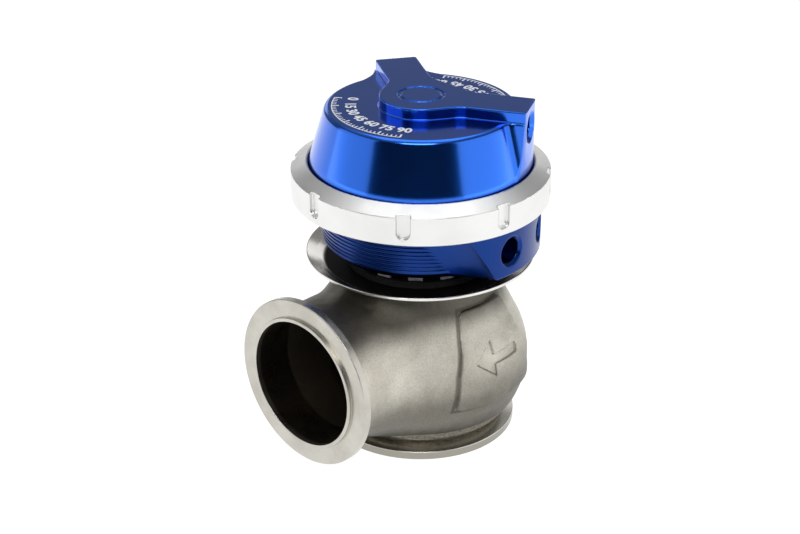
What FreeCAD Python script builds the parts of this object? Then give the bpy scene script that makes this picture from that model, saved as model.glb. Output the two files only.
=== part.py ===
# Turbo wastegate, external type, two V-band flanges, diaphragm actuator on top.
#
# Frame: millimetres, +Z up along the valve stem.  Origin at the centre of the
# inlet flange's face, so the part stands on it.  The outlet points along -Y.
#
# Every driving size is a cell of the sheet "Dims"; sketches, primitives and
# features are bound to the cells with expressions.
import FreeCAD, Part
import math, os
import Sketcher

os.makedirs("parts", exist_ok=True)
doc = FreeCAD.newDocument("wastegate")
V = FreeCAD.Vector

# --------------------------------------------------------------------------
# driving dimensions
# --------------------------------------------------------------------------
SIZES = [
    # inlet flange and casting
    ("inlet_rim_r", 34.15), ("inlet_rim_t", 3.0), ("inlet_neck_r", 29.4), ("inlet_neck_z", 4.9),
    ("bead_r", 32.3), ("bead_low_z", 5.9), ("bead_top_z", 9.4), ("barrel_low_z", 9.9),
    ("barrel_arc_r", 32.0), ("barrel_mid_r", 6.6), ("barrel_mid_z", 26.0), ("deck_blend_r", 8.0),
    ("deck_r", 27.2), ("deck_z", 61.6),
    ("seat_bore_r", 26.0), ("seat_step_z", 7.0), ("throat_r", 24.5),
    ("chamber_r", 33.6), ("chamber_arc_r", 27.5), ("chamber_low_z", 10.9), ("chamber_top_r", 24.0), ("chamber_top_z", 49.0),
    ("roof_r", 19.5), ("roof_z", 51.0), ("guide_boss_r", 10.5), ("guide_boss_z", 45.0),
    ("pad_r", 1.25), ("pad_low_z", 20.5), ("pad_top_z", 50.5), ("pad_angle", 45.0),
    # outlet
    ("outlet_face", 57.58), ("outlet_z", 35.24), ("outlet_rim_r", 29.66), ("outlet_rim_t", 2.8),
    ("outlet_pipe_r", 25.2), ("outlet_bore_r", 22.2), ("cast_bore_r", 22.7), ("outlet_ring_t", 10.0), ("outlet_lip", 1.1), ("outlet_lip_r", 23.5),
    ("pipe_root", 6.0), ("blend_r", 12.0), ("bore_root", 17.0),
    # seat, guide, valve
    ("seat_inner_r", 21.0), ("seat_low_z", 0.4), ("seat_line", 15.5),
    ("guide_r", 6.5), ("guide_bore_r", 4.04), ("guide_low_z", 44.0), ("guide_top_z", 62.9), ("guide_head_r", 8.5),
    ("stem_r", 4.0), ("head_r", 23.2), ("head_low_z", 5.6), ("head_cone_z", 7.9), ("head_top_z", 9.4),
    ("tulip_r", 10.0), ("tulip_z", 12.6), ("neck_z", 20.0), ("stem_end_r", 3.0), ("shoulder_z", 83.2), ("stem_top_z", 96.2),
    # heat shield, insulator, stand-off
    ("sheet_t", 1.2), ("shield_flat_r", 33.0), ("shield_wall_r", 36.17), ("shield_wall_z", 64.6),
    ("shield_rim_r", 39.92), ("shield_rim_z", 66.4), ("shield_hole_r", 9.0),
    ("insul_t", 2.4), ("insul_r", 26.2), ("ring_in_r", 12.6), ("ring_out_r", 24.9), ("notch_deep", 3.0), ("notch_wide", 6.2),
    ("notch_count", 14), ("ring_turn", 0.72), ("base_z", 69.5),
    # fixing screws
    ("screw_pcr", 17.8), ("screw_r", 2.9), ("screw_hole_r", 3.2), ("screw_tap_r", 2.9), ("screw_head_r", 4.8),
    ("screw_head_t", 5.6), ("screw_socket_af", 5.0), ("screw_low_z", 54.0), ("tap_low_z", 53.2), ("screw_bore_r", 5.3),
    ("screw_seat_z", 74.0), ("screw_count", 4),
    # actuator base
    ("skirt_low_r", 31.4), ("skirt_edge_r", 34.0), ("skirt_edge_z", 72.06), ("skirt_top_r", 35.8), ("skirt_top_z", 86.9),
    ("thread_r", 41.8), ("base_top_z", 93.4), ("fin_pitch", 1.46), ("fin_low_z", 73.2), ("fin_count", 9), ("fin_deep", 0.6), ("fin_wide", 0.75),
    ("floor_z", 76.6), ("well_r", 31.6), ("well_top_r", 33.4), ("well_top_z", 86.0), ("hub_r", 11.0), ("hub_z", 82.4),
    ("bush_r", 6.0), ("bush_low_z", 69.9), ("bush_top_z", 76.9), ("seal_r", 8.0), ("seal_low_z", 77.1), ("seal_top_z", 80.7),
    ("clip_r", 8.4), ("clip_t", 1.0), ("bead_groove_in", 36.0), ("bead_groove_out", 38.4), ("bead_groove_z", 91.9),
    ("boss_low_half", 17.2), ("boss_top_half", 27.0), ("boss_low_z", 69.5), ("boss_angle", 15.0),
    ("port_r", 4.35), ("port_mouth_r", 5.7), ("port_z", 78.1), ("port_step", 30.0),
    # diaphragm stack
    ("dia_t", 1.0), ("plate_t", 2.5), ("plate_r", 28.0), ("plate_rim_z", 98.0), ("plate_rim_w", 1.6), ("stud_hole_r", 3.05),
    ("dia_out_r", 40.6), ("roll_mid_r", 30.6), ("roll_r", 1.9), ("roll_t", 0.8), ("roll_z", 95.2),
    ("washer_r", 7.0), ("washer_t", 1.2), ("nut_af", 10.0), ("nut_t", 4.6),
    # cap
    ("cap_flange_r", 41.2), ("cap_low_z", 94.4), ("cap_flange_z", 96.8), ("cap_r", 38.3), ("cone_low_z", 99.86),
    ("cone_top_r", 32.6), ("plate_z", 119.0), ("hub_top_z", 122.8), ("cap_hub_r", 14.3), ("arm_half", 7.4), ("arm_foot_half", 9.8),
    ("arm_foot_z", 101.0), ("arm_end", 37.8), ("arm_angle_a", 147.0), ("arm_angle_b", 27.0), ("cap_port_z", 115.2),
    ("cap_bore_r", 33.3), ("cap_bore_z", 98.4), ("cap_mid_r", 31.4), ("cap_mid_z", 110.0), ("cap_roof_r", 28.6), ("cap_roof_z", 115.5),
    ("edge_r", 1.2),
    # collar and slip ring
    ("slip_t", 0.5), ("slip_in_r", 38.9), ("collar_low_z", 87.1), ("collar_r", 44.5), ("collar_bore_r", 41.9),
    ("collar_lip_z", 97.4), ("collar_wall_z", 97.1), ("collar_top_z", 99.9), ("collar_top_r", 39.4), ("collar_lip_r", 38.7),
    ("slot_wide", 4.7), ("slot_deep", 1.25), ("slot_low_z", 89.2), ("slot_count", 8), ("slot_angle", -54.2),
    # springs
    ("spring_low_z", 89.2), ("outer_coil_r", 24.3), ("outer_wire_r", 1.6), ("outer_turns", 3.1),
    ("middle_coil_r", 18.9), ("middle_wire_r", 1.35), ("middle_turns", 3.6),
    ("inner_coil_r", 13.5), ("inner_wire_r", 1.15), ("inner_turns", 4.2), ("spring_gap", 0.12),
]
sheet = doc.addObject("Spreadsheet::Sheet", "Dims")
sheet.Label = "Dims"
for row, (name, value) in enumerate(SIZES, start=1):
    sheet.set("A%d" % row, name)
    sheet.set("B%d" % row, repr(value))
    sheet.setAlias("B%d" % row, name)
doc.recompute()


class Q(object):
    """A size: its present value and the expression that gives it."""

    def __init__(self, value, text):
        self.v, self.t = float(value), text

    def __add__(self, other):
        o = quantity(other)
        return Q(self.v + o.v, "(%s + %s)" % (self.t, o.t))

    def __radd__(self, other):
        return quantity(other) + self

    def __sub__(self, other):
        o = quantity(other)
        return Q(self.v - o.v, "(%s - %s)" % (self.t, o.t))

    def __rsub__(self, other):
        return quantity(other) - self

    def __mul__(self, other):
        o = quantity(other)
        return Q(self.v * o.v, "(%s * %s)" % (self.t, o.t))

    def __truediv__(self, other):
        o = quantity(other)
        return Q(self.v / o.v, "(%s / %s)" % (self.t, o.t))


def quantity(x):
    return x if isinstance(x, Q) else Q(x, repr(float(x)))


def root(q):
    return Q(math.sqrt(q.v), "sqrt(%s)" % q.t)


class Sizes(object):
    def __getattr__(self, name):
        return Q(float(sheet.get(name)), "Dims." + name)


D = Sizes()


# --------------------------------------------------------------------------
# sketch and feature helpers
# --------------------------------------------------------------------------
def new_body(label):
    b = doc.addObject("PartDesign::Body", label)
    b.Label = label
    if hasattr(b, "AllowCompound"):
        b.AllowCompound = True
    return b


def origin_plane(body, role):
    for f in body.Origin.OriginFeatures:
        if f.Role == role:
            return f
    raise ValueError(role)


def new_sketch(body, role, name, base=(0, 0, 0), turn=None):
    """Sketch on one of the body's own planes.  base: shift in the sketch's
    own axes; turn: (axis, degrees) in the sketch's own axes."""
    sk = body.newObject("Sketcher::SketchObject", name)
    sk.AttachmentSupport = [(origin_plane(body, role), "")]
    sk.MapMode = "FlatFace"
    b = [quantity(x) for x in base]
    rot = FreeCAD.Rotation()
    if turn:
        rot = FreeCAD.Rotation(V(*turn[0]), quantity(turn[1]).v)
    sk.AttachmentOffset = FreeCAD.Placement(V(b[0].v, b[1].v, b[2].v), rot)
    for axis, q in zip("xyz", b):
        if "Dims" in q.t:
            sk.setExpression("AttachmentOffset.Base." + axis, q.t)
    if turn and isinstance(turn[1], Q):
        sk.setExpression("AttachmentOffset.Rotation.Angle", turn[1].t)
    return sk


def fix_point(sk, geo, pos, x, y):
    for kind, q in (("DistanceX", x), ("DistanceY", y)):
        if abs(q.v) < 1e-9 and "Dims" not in q.t:
            # on an axis: X = 0 is the vertical axis (-2), Y = 0 the horizontal one (-1)
            sk.addConstraint(Sketcher.Constraint("PointOnObject", geo, pos, -2 if kind == "DistanceX" else -1))
        else:
            n = sk.addConstraint(Sketcher.Constraint(kind, geo, pos, q.v))
            if "Dims" in q.t:
                sk.setExpression("Constraints[%d]" % n, q.t)


def outline(sk, points):
    """Closed outline.  Each entry is (x, y) or (x, y, radius, side): a third
    and fourth value make the edge that arrives at this point an arc, side +1
    bulging to the left of its travel and -1 to the right."""
    pts = [(quantity(p[0]), quantity(p[1])) + tuple(p[2:]) for p in points]
    geos = []
    arcs = []
    ends = []
    n = len(pts)
    for i in range(n):
        a, b = pts[i], pts[(i + 1) % n]
        pa, pb = V(a[0].v, a[1].v, 0), V(b[0].v, b[1].v, 0)
        if len(b) > 2:
            r, side = quantity(b[2]).v, b[3]
            d = pb - pa
            half = d.Length / 2
            left = V(-d.y, d.x, 0).normalize()
            centre = (pa + pb) * 0.5 - left * (math.sqrt(max(r * r - half * half, 0.0)) * side)
            # arcs run counter-clockwise: one that bulges left of its travel is clockwise
            first, last = (pb, pa) if side > 0 else (pa, pb)
            a0 = math.atan2(first.y - centre.y, first.x - centre.x)
            a1 = math.atan2(last.y - centre.y, last.x - centre.x)
            if a1 < a0:
                a1 += 2 * math.pi
            geos.append(sk.addGeometry(Part.ArcOfCircle(Part.Circle(centre, V(0, 0, 1), r), a0, a1), False))
            arcs.append((geos[i], quantity(b[2])))
            ends.append((2, 1) if side > 0 else (1, 2))
        else:
            geos.append(sk.addGeometry(Part.LineSegment(pa, pb), False))
            ends.append((1, 2))
    for i in range(n):
        j = (i + 1) % n
        sk.addConstraint(Sketcher.Constraint("Coincident", geos[i], ends[i][1], geos[j], ends[j][0]))
    for i in range(n):
        fix_point(sk, geos[i], ends[i][0], pts[i][0], pts[i][1])
    for g, r in arcs:
        c = sk.addConstraint(Sketcher.Constraint("Radius", g, r.v))
        if "Dims" in r.t:
            sk.setExpression("Constraints[%d]" % c, r.t)
    return sk


def circle(sk, x, y, r):
    x, y, r = quantity(x), quantity(y), quantity(r)
    g = sk.addGeometry(Part.Circle(V(x.v, y.v, 0), V(0, 0, 1), r.v), False)
    fix_point(sk, g, 3, x, y)
    c = sk.addConstraint(Sketcher.Constraint("Radius", g, r.v))
    if "Dims" in r.t:
        sk.setExpression("Constraints[%d]" % c, r.t)
    return g


def turned(body, name, points, angle=None, groove=False, midplane=False, turn=None):
    """Revolve (or cut by revolving) an outline given as (radius, height)."""
    sk = new_sketch(body, "XZ_Plane", name + "_profile", turn=turn)
    outline(sk, points)
    f = body.newObject("PartDesign::Groove" if groove else "PartDesign::Revolution", name)
    f.Profile = sk
    f.ReferenceAxis = (sk, ["V_Axis"])
    f.Angle = 360.0
    if angle is not None:
        f.Angle = quantity(angle).v
        if isinstance(angle, Q):
            f.setExpression("Angle", angle.t)
    f.Midplane = midplane
    body.Tip = f
    doc.recompute()
    return f


def pocket(body, name, sk, length, reverse=False, taper=None):
    before = body.Shape.Volume
    f = body.newObject("PartDesign::Pocket", name)
    f.Profile = sk
    q = quantity(length)
    f.Length = q.v
    if "Dims" in q.t:
        f.setExpression("Length", q.t)
    f.Reversed = reverse
    if taper is not None:
        f.TaperAngle = taper
    body.Tip = f
    doc.recompute()
    if body.Shape.Volume > before - 1e-3:
        raise RuntimeError("%s cuts nothing" % name)
    return f


def pad(body, name, sk, length, reverse=False, midplane=False):
    f = body.newObject("PartDesign::Pad", name)
    f.Profile = sk
    q = quantity(length)
    f.Length = q.v
    if "Dims" in q.t:
        f.setExpression("Length", q.t)
    f.Reversed = reverse
    f.Midplane = midplane
    body.Tip = f
    doc.recompute()
    return f


def around(body, name, feats, count):
    p = body.newObject("PartDesign::PolarPattern", name)
    p.Originals = feats
    for o in body.Origin.OriginFeatures:
        if o.Role == "Z_Axis":
            p.Axis = (o, [""])
    p.Angle = 360.0
    q = quantity(count)
    p.Occurrences = int(q.v)
    if "Dims" in q.t:
        p.setExpression("Occurrences", q.t)
    body.Tip = p
    doc.recompute()
    return p


def round_edges(body, name, radius, pick, chamfer=False):
    """Fillet or chamfer the edges of the body's tip that pick() accepts."""
    tip = body.Tip
    names = ["Edge%d" % (i + 1) for i, e in enumerate(tip.Shape.Edges) if pick(e)]
    if not names:
        raise RuntimeError("%s finds no edge" % name)
    f = body.newObject("PartDesign::Chamfer" if chamfer else "PartDesign::Fillet", name)
    f.Base = (tip, names)
    q = quantity(radius)
    if chamfer:
        f.Size = q.v
    else:
        f.Radius = q.v
        if "Dims" in q.t:
            f.setExpression("Radius", q.t)
    body.Tip = f
    doc.recompute()
    return f


PARTS = []

# --------------------------------------------------------------------------
# valve housing: the casting that both V-band rings are welded to
# --------------------------------------------------------------------------
housing = new_body("valve_housing")


def barrel_at(z, extra=0.0):
    """Radius of the barrel's round side at height z, moved out by extra."""
    rad = D.barrel_arc_r + extra
    dz = quantity(z) - D.barrel_mid_z
    return D.barrel_mid_r + root(rad * rad - dz * dz)


blend_x = D.deck_r + D.deck_blend_r - D.barrel_mid_r
blend_z = root((D.barrel_arc_r + D.deck_blend_r) * (D.barrel_arc_r + D.deck_blend_r) - blend_x * blend_x)
share = D.barrel_arc_r / (D.barrel_arc_r + D.deck_blend_r)
turned(housing, "barrel", [
    (0, D.barrel_low_z), (barrel_at(D.barrel_low_z), D.barrel_low_z),
    (D.barrel_mid_r + blend_x * share, D.barrel_mid_z + blend_z * share, D.barrel_arc_r, -1),
    (D.deck_r, D.barrel_mid_z + blend_z, D.deck_blend_r, 1),
    (D.deck_r, D.deck_z - 0.5), (D.deck_r - 0.5, D.deck_z), (0, D.deck_z)])
# outlet pipe, pulled out of the barrel along the horizontal outlet axis
sk = new_sketch(housing, "XZ_Plane", "pipe_profile", base=(0, 0, D.pipe_root))
circle(sk, 0, D.outlet_z, D.outlet_pipe_r)
pad(housing, "pipe", sk, D.outlet_face - D.outlet_ring_t - D.pipe_root)


def junction(e):
    """Edges where the pipe's skin runs into the barrel."""
    if isinstance(e.Curve, (Part.Circle, Part.Line)) or e.BoundBox.YMin < -47:
        return False
    return all(abs(math.hypot(p.x, p.z - D.outlet_z.v) - D.outlet_pipe_r.v) < 0.02 for p in e.discretize(7))


round_edges(housing, "junction_blend", D.blend_r, junction)
# raised foundry pad on the +X side
turned(housing, "foundry_pad", [
    (D.chamber_r, D.pad_low_z), (barrel_at(D.pad_low_z, D.pad_r), D.pad_low_z),
    (barrel_at(D.pad_top_z, D.pad_r), D.pad_top_z, D.barrel_arc_r + D.pad_r, -1),
    (D.chamber_top_r, D.pad_top_z)], angle=D.pad_angle, midplane=True)
# gas chamber, throat and the boss that holds the guide
turned(housing, "chamber", [
    (0, D.barrel_low_z - 1.0), (D.throat_r, D.barrel_low_z - 1.0), (D.throat_r, D.chamber_low_z),
    (D.chamber_top_r, D.chamber_top_z, D.chamber_arc_r, -1),
    (D.roof_r, D.roof_z), (D.guide_boss_r, D.roof_z), (D.guide_boss_r - 0.5, D.guide_boss_z), (0, D.guide_boss_z)], groove=True)
turned(housing, "guide_bore", [(0, D.guide_boss_z - 1), (D.guide_r, D.guide_boss_z - 1), (D.guide_r, D.deck_z + 1), (0, D.deck_z + 1)], groove=True)
sk = new_sketch(housing, "YZ_Plane", "outlet_bore_profile", base=(0, D.outlet_z, 0), turn=((0, 1, 0), 180))
outline(sk, [(D.bore_root, 0), (D.outlet_face, 0), (D.outlet_face, D.cast_bore_r), (D.bore_root, D.cast_bore_r)])
f = housing.newObject("PartDesign::Groove", "outlet_bore")
f.Profile = sk
f.ReferenceAxis = (sk, ["H_Axis"])
f.Angle = 360.0
housing.Tip = f
doc.recompute()
sk = new_sketch(housing, "XY_Plane", "tapped_hole_sketch", base=(0, 0, D.deck_z))
circle(sk, D.screw_pcr * math.cos(math.pi / 4), D.screw_pcr * math.sin(math.pi / 4), D.screw_tap_r)
hole = pocket(housing, "tapped_hole", sk, D.deck_z - D.tap_low_z)
around(housing, "tapped_holes", [hole], D.screw_count)
PARTS.append(housing)

# --------------------------------------------------------------------------
# inlet ring: V-band flange, neck and bead below the barrel, bored for the seat
# --------------------------------------------------------------------------
inlet = new_body("inlet_ring")
turned(inlet, "flange", [
    (D.seat_bore_r, 0), (D.inlet_rim_r, 0), (D.inlet_rim_r, D.inlet_rim_t),
    (D.inlet_neck_r, D.inlet_neck_z), (D.inlet_neck_r, D.bead_low_z), (D.bead_r, D.bead_low_z + 0.7),
    (D.bead_r, D.bead_top_z), (D.bead_r - 0.5, D.barrel_low_z), (D.throat_r, D.barrel_low_z), (D.throat_r, D.seat_step_z),
    (D.seat_bore_r, D.seat_step_z)])
PARTS.append(inlet)

# --------------------------------------------------------------------------
# outlet ring: V-band flange with a raised register lip, on the pipe's end (sketch X runs along -Y)
# --------------------------------------------------------------------------
outlet = new_body("outlet_ring")
sk = new_sketch(outlet, "YZ_Plane", "outlet_profile", base=(0, D.outlet_z, 0), turn=((0, 1, 0), 180))
outline(sk, [(D.outlet_face - D.outlet_ring_t, D.outlet_bore_r), (D.outlet_face + D.outlet_lip, D.outlet_bore_r), (D.outlet_face + D.outlet_lip, D.outlet_lip_r - 0.2),
             (D.outlet_face + D.outlet_lip - 0.2, D.outlet_lip_r), (D.outlet_face, D.outlet_lip_r),
             (D.outlet_face, D.outlet_rim_r - 0.3), (D.outlet_face - 0.3, D.outlet_rim_r),
             (D.outlet_face - D.outlet_rim_t, D.outlet_rim_r), (D.outlet_face - D.outlet_rim_t - 1.8, D.outlet_pipe_r + 0.3),
             (D.outlet_face - D.outlet_ring_t, D.outlet_pipe_r)])
f = outlet.newObject("PartDesign::Revolution", "flange")
f.Profile = sk
f.ReferenceAxis = (sk, ["H_Axis"])
f.Angle = 360.0
outlet.Tip = f
doc.recompute()
PARTS.append(outlet)

# --------------------------------------------------------------------------
# valve seat: hardened ring pressed into the inlet, 45 degree seat inside
# --------------------------------------------------------------------------
seat = new_body("valve_seat")
turned(seat, "ring", [
    (D.seat_inner_r + 1.0, D.seat_low_z), (D.seat_bore_r, D.seat_low_z), (D.seat_bore_r, D.seat_step_z), (D.seat_step_z + D.seat_line, D.seat_step_z),
    (D.seat_inner_r, D.seat_inner_r - D.seat_line), (D.seat_inner_r, D.seat_low_z + 1.0)])
PARTS.append(seat)

# --------------------------------------------------------------------------
# valve guide: shouldered bush pressed down into the casting's deck
# --------------------------------------------------------------------------
guide = new_body("valve_guide")
turned(guide, "bush", [
    (D.guide_bore_r, D.guide_low_z), (D.guide_r - 0.6, D.guide_low_z), (D.guide_r, D.guide_low_z + 1.0), (D.guide_r, D.deck_z),
    (D.guide_head_r, D.deck_z), (D.guide_head_r, D.guide_top_z), (D.guide_bore_r + 0.6, D.guide_top_z), (D.guide_bore_r, D.guide_top_z - 0.6)])
PARTS.append(guide)

# --------------------------------------------------------------------------
# valve: tulip head and stem in one piece, threaded end above the shoulder
# --------------------------------------------------------------------------
valve = new_body("valve")
turned(valve, "poppet", [
    (0, D.head_low_z), (D.head_r - (D.head_cone_z - D.head_low_z), D.head_low_z), (D.head_r, D.head_cone_z), (D.head_r, D.head_top_z - 0.3),
    (D.head_r - 0.3, D.head_top_z), (D.tulip_r, D.tulip_z), (D.stem_r, D.neck_z, 9.5, 1), (D.stem_r, D.shoulder_z - 0.3), (D.stem_r - 0.3, D.shoulder_z), (D.stem_end_r, D.shoulder_z),
    (D.stem_end_r, D.stem_top_z - 0.6), (D.stem_end_r - 0.6, D.stem_top_z), (0, D.stem_top_z)])
PARTS.append(valve)

# --------------------------------------------------------------------------
# heat shield: pressed sheet dish between the casting and the actuator
# --------------------------------------------------------------------------
shield = new_body("heat_shield")
turned(shield, "dish", [
    (D.shield_hole_r, D.deck_z), (D.shield_flat_r + 0.5, D.deck_z), (D.shield_wall_r + 0.6, D.shield_wall_z - D.sheet_t), (D.shield_rim_r, D.shield_rim_z - 1.1),
    (D.shield_rim_r, D.shield_rim_z), (D.shield_wall_r, D.shield_wall_z), (D.shield_flat_r, D.deck_z + D.sheet_t), (D.shield_hole_r, D.deck_z + D.sheet_t)])
sk = new_sketch(shield, "XY_Plane", "screw_hole_sketch", base=(0, 0, D.deck_z + D.sheet_t + 1.0))
circle(sk, D.screw_pcr * math.cos(math.pi / 4), D.screw_pcr * math.sin(math.pi / 4), D.screw_hole_r)
hole = pocket(shield, "shield_hole", sk, D.sheet_t + 2.0)
around(shield, "shield_holes", [hole], D.screw_count)
PARTS.append(shield)

# --------------------------------------------------------------------------
# insulator: thick fibre washer on the shield's floor
# --------------------------------------------------------------------------
insul = new_body("insulator_washer")
turned(insul, "washer", [
    (D.shield_hole_r, D.deck_z + D.sheet_t), (D.insul_r, D.deck_z + D.sheet_t), (D.insul_r, D.deck_z + D.sheet_t + D.insul_t),
    (D.shield_hole_r, D.deck_z + D.sheet_t + D.insul_t)])
sk = new_sketch(insul, "XY_Plane", "insulator_hole_sketch", base=(0, 0, D.deck_z + D.sheet_t + D.insul_t + 1.0))
circle(sk, D.screw_pcr * math.cos(math.pi / 4), D.screw_pcr * math.sin(math.pi / 4), D.screw_hole_r)
hole = pocket(insul, "insulator_hole", sk, D.insul_t + 2.0)
around(insul, "insulator_holes", [hole], D.screw_count)
PARTS.append(insul)

# --------------------------------------------------------------------------
# stand-off ring: castellated foot that leaves air gaps under the actuator
# --------------------------------------------------------------------------
ring = new_body("standoff_ring")
ring_low = D.deck_z + D.sheet_t + D.insul_t
turned(ring, "annulus", [
    (D.ring_in_r, ring_low), (D.ring_out_r, ring_low), (D.ring_out_r, D.base_z - 0.4), (D.ring_out_r - 0.4, D.base_z), (D.ring_in_r, D.base_z)])
sk = new_sketch(ring, "XZ_Plane", "notch_sketch", turn=((0, 1, 0), D.ring_turn))
outline(sk, [(D.notch_wide * -0.5, ring_low - 1.0), (D.notch_wide * 0.5, ring_low - 1.0), (D.notch_wide * 0.5, ring_low + D.notch_deep),
             (D.notch_wide * -0.5, ring_low + D.notch_deep)])
notch = pocket(ring, "notch", sk, 30.0, reverse=True)
around(ring, "notches", [notch], D.notch_count)
sk = new_sketch(ring, "XY_Plane", "ring_hole_sketch", base=(0, 0, D.base_z + 1.0))
circle(sk, D.screw_pcr * math.cos(math.pi / 4), D.screw_pcr * math.sin(math.pi / 4), D.screw_hole_r)
hole = pocket(ring, "ring_hole", sk, 8.0)
around(ring, "ring_holes", [hole], D.screw_count)
PARTS.append(ring)

# --------------------------------------------------------------------------
# base screws: socket-head screws through the actuator's floor into the deck
# --------------------------------------------------------------------------
screws = new_body("base_screws")
sk = new_sketch(screws, "XZ_Plane", "screw_profile", base=(D.screw_pcr, 0, 0), turn=None)
outline(sk, [(0, D.screw_low_z), (D.screw_r - 0.5, D.screw_low_z), (D.screw_r, D.screw_low_z + 0.5), (D.screw_r, D.screw_seat_z), (D.screw_head_r, D.screw_seat_z),
             (D.screw_head_r, D.screw_seat_z + D.screw_head_t - 0.4), (D.screw_head_r - 0.4, D.screw_seat_z + D.screw_head_t), (0, D.screw_seat_z + D.screw_head_t)])
f = screws.newObject("PartDesign::Revolution", "screw")
f.Profile = sk
f.ReferenceAxis = (sk, ["V_Axis"])
f.Angle = 360.0
screws.Tip = f
doc.recompute()
sk = new_sketch(screws, "XY_Plane", "socket_sketch", base=(0, 0, D.screw_seat_z + D.screw_head_t))
hexagon = [(D.screw_pcr + D.screw_socket_af * (0.57735 * math.cos(math.radians(60 * k + 30))), D.screw_socket_af * (0.57735 * math.sin(math.radians(60 * k + 30)))) for k in range(6)]
outline(sk, hexagon)
socket = pocket(screws, "socket", sk, 3.0)
around(screws, "screw_set", [f, socket], D.screw_count)
screws.Placement = FreeCAD.Placement(V(0, 0, 0), FreeCAD.Rotation(V(0, 0, 1), 45))
PARTS.append(screws)

# --------------------------------------------------------------------------
# actuator base: finned skirt, floor, stem hub, boss with two ports, collar thread
# --------------------------------------------------------------------------
base = new_body("actuator_base")
slope = (D.skirt_top_r - D.skirt_edge_r) / (D.skirt_top_z - D.skirt_edge_z)


def skirt_at(z):
    return D.skirt_edge_r + (quantity(z) - D.skirt_edge_z) * slope


prof = [(0, D.base_z), (D.skirt_low_r, D.base_z), (D.skirt_edge_r, D.skirt_edge_z)]
for k in range(int(D.fin_count.v)):
    z0 = D.fin_low_z + D.fin_pitch * k
    prof += [(skirt_at(z0), z0), (skirt_at(z0) - D.fin_deep, z0 + 0.12), (skirt_at(z0) - D.fin_deep, z0 + D.fin_wide - 0.12),
             (skirt_at(z0), z0 + D.fin_wide)]
prof += [(D.skirt_top_r, D.skirt_top_z - 1.0), (D.thread_r - 0.6, D.skirt_top_z), (D.thread_r, D.skirt_top_z + 0.6), (D.thread_r, D.base_top_z - 0.6),
         (D.thread_r - 0.6, D.base_top_z), (0, D.base_top_z)]
turned(base, "skirt", prof)
sk = new_sketch(base, "YZ_Plane", "boss_sketch", base=(0, 0, 0), turn=((0, 1, 0), D.boss_angle))
outline(sk, [(D.boss_low_half * -1.0, D.boss_low_z), (D.boss_low_half, D.boss_low_z), (D.boss_top_half, D.skirt_top_z + 0.6), (D.boss_top_half * -1.0, D.skirt_top_z + 0.6)])
pad(base, "boss", sk, D.thread_r + 3.0)
turned(base, "boss_face", [(D.thread_r, D.base_z - 2.0), (D.thread_r + 12.0, D.base_z - 2.0), (D.thread_r + 12.0, D.base_top_z + 2.0), (D.thread_r, D.base_top_z + 2.0)], groove=True)
turned(base, "well", [
    (0, D.hub_z), (D.hub_r - 0.6, D.hub_z), (D.hub_r, D.hub_z - 0.6), (D.hub_r, D.floor_z), (D.well_r, D.floor_z), (D.well_r, D.well_top_z - 2.0), (D.well_top_r, D.well_top_z),
    (D.well_top_r, D.base_top_z + 1.0), (0, D.base_top_z + 1.0)], groove=True)
turned(base, "stem_bore", [
    (0, D.base_z - 1.0), (D.bush_r, D.base_z - 1.0), (D.bush_r, D.bush_top_z + 0.2), (D.seal_r, D.bush_top_z + 0.2), (D.seal_r, D.seal_top_z), (D.clip_r, D.seal_top_z),
    (D.clip_r, D.seal_top_z + D.clip_t), (D.seal_r, D.seal_top_z + D.clip_t), (D.seal_r, D.hub_z + 1.0), (0, D.hub_z + 1.0)], groove=True)
turned(base, "bead_groove", [
    (D.bead_groove_in, D.bead_groove_z), (D.bead_groove_out, D.bead_groove_z), (D.bead_groove_out, D.base_top_z + 1.0), (D.bead_groove_in, D.base_top_z + 1.0)], groove=True)
c45 = math.cos(math.pi / 4)
sk = new_sketch(base, "XY_Plane", "counterbore_sketch", base=(0, 0, D.floor_z + 1.0))
circle(sk, D.screw_pcr * c45, D.screw_pcr * c45, D.screw_bore_r)
cbore = pocket(base, "counterbore", sk, D.floor_z + 1.0 - D.screw_seat_z)
around(base, "counterbores", [cbore], D.screw_count)
sk = new_sketch(base, "XY_Plane", "base_hole_sketch", base=(0, 0, D.screw_seat_z + 1.0))
circle(sk, D.screw_pcr * c45, D.screw_pcr * c45, D.screw_hole_r)
bhole = pocket(base, "base_hole", sk, D.screw_seat_z + 2.0 - D.base_z)
around(base, "base_holes", [bhole], D.screw_count)
for n, ang in enumerate((Q(0.0, "0"), D.port_step)):
    sk = new_sketch(base, "YZ_Plane", "port_sketch_%d" % (n + 1), base=(0, 0, 0), turn=((0, 1, 0), ang))
    sk.AttachmentOffset = FreeCAD.Placement(FreeCAD.Rotation(V(0, 1, 0), ang.v).multVec(V(0, 0, D.thread_r.v + 3.0)), FreeCAD.Rotation(V(0, 1, 0), ang.v))
    circle(sk, 0, D.port_z, D.port_r)
    pocket(base, "port_%d" % (n + 1), sk, D.thread_r + 3.0 - D.well_r + 1.2)


def port_mouth(e):
    b = e.BoundBox
    ps = e.discretize(9)
    if isinstance(e.Curve, Part.Line) or b.ZMin < 73.0 or b.ZMax > 83.0:
        return False
    return all(abs(math.hypot(p.x, p.y) - D.thread_r.v) < 0.02 for p in ps)


round_edges(base, "port_mouths", 1.3, port_mouth, chamfer=True)
PARTS.append(base)

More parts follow.
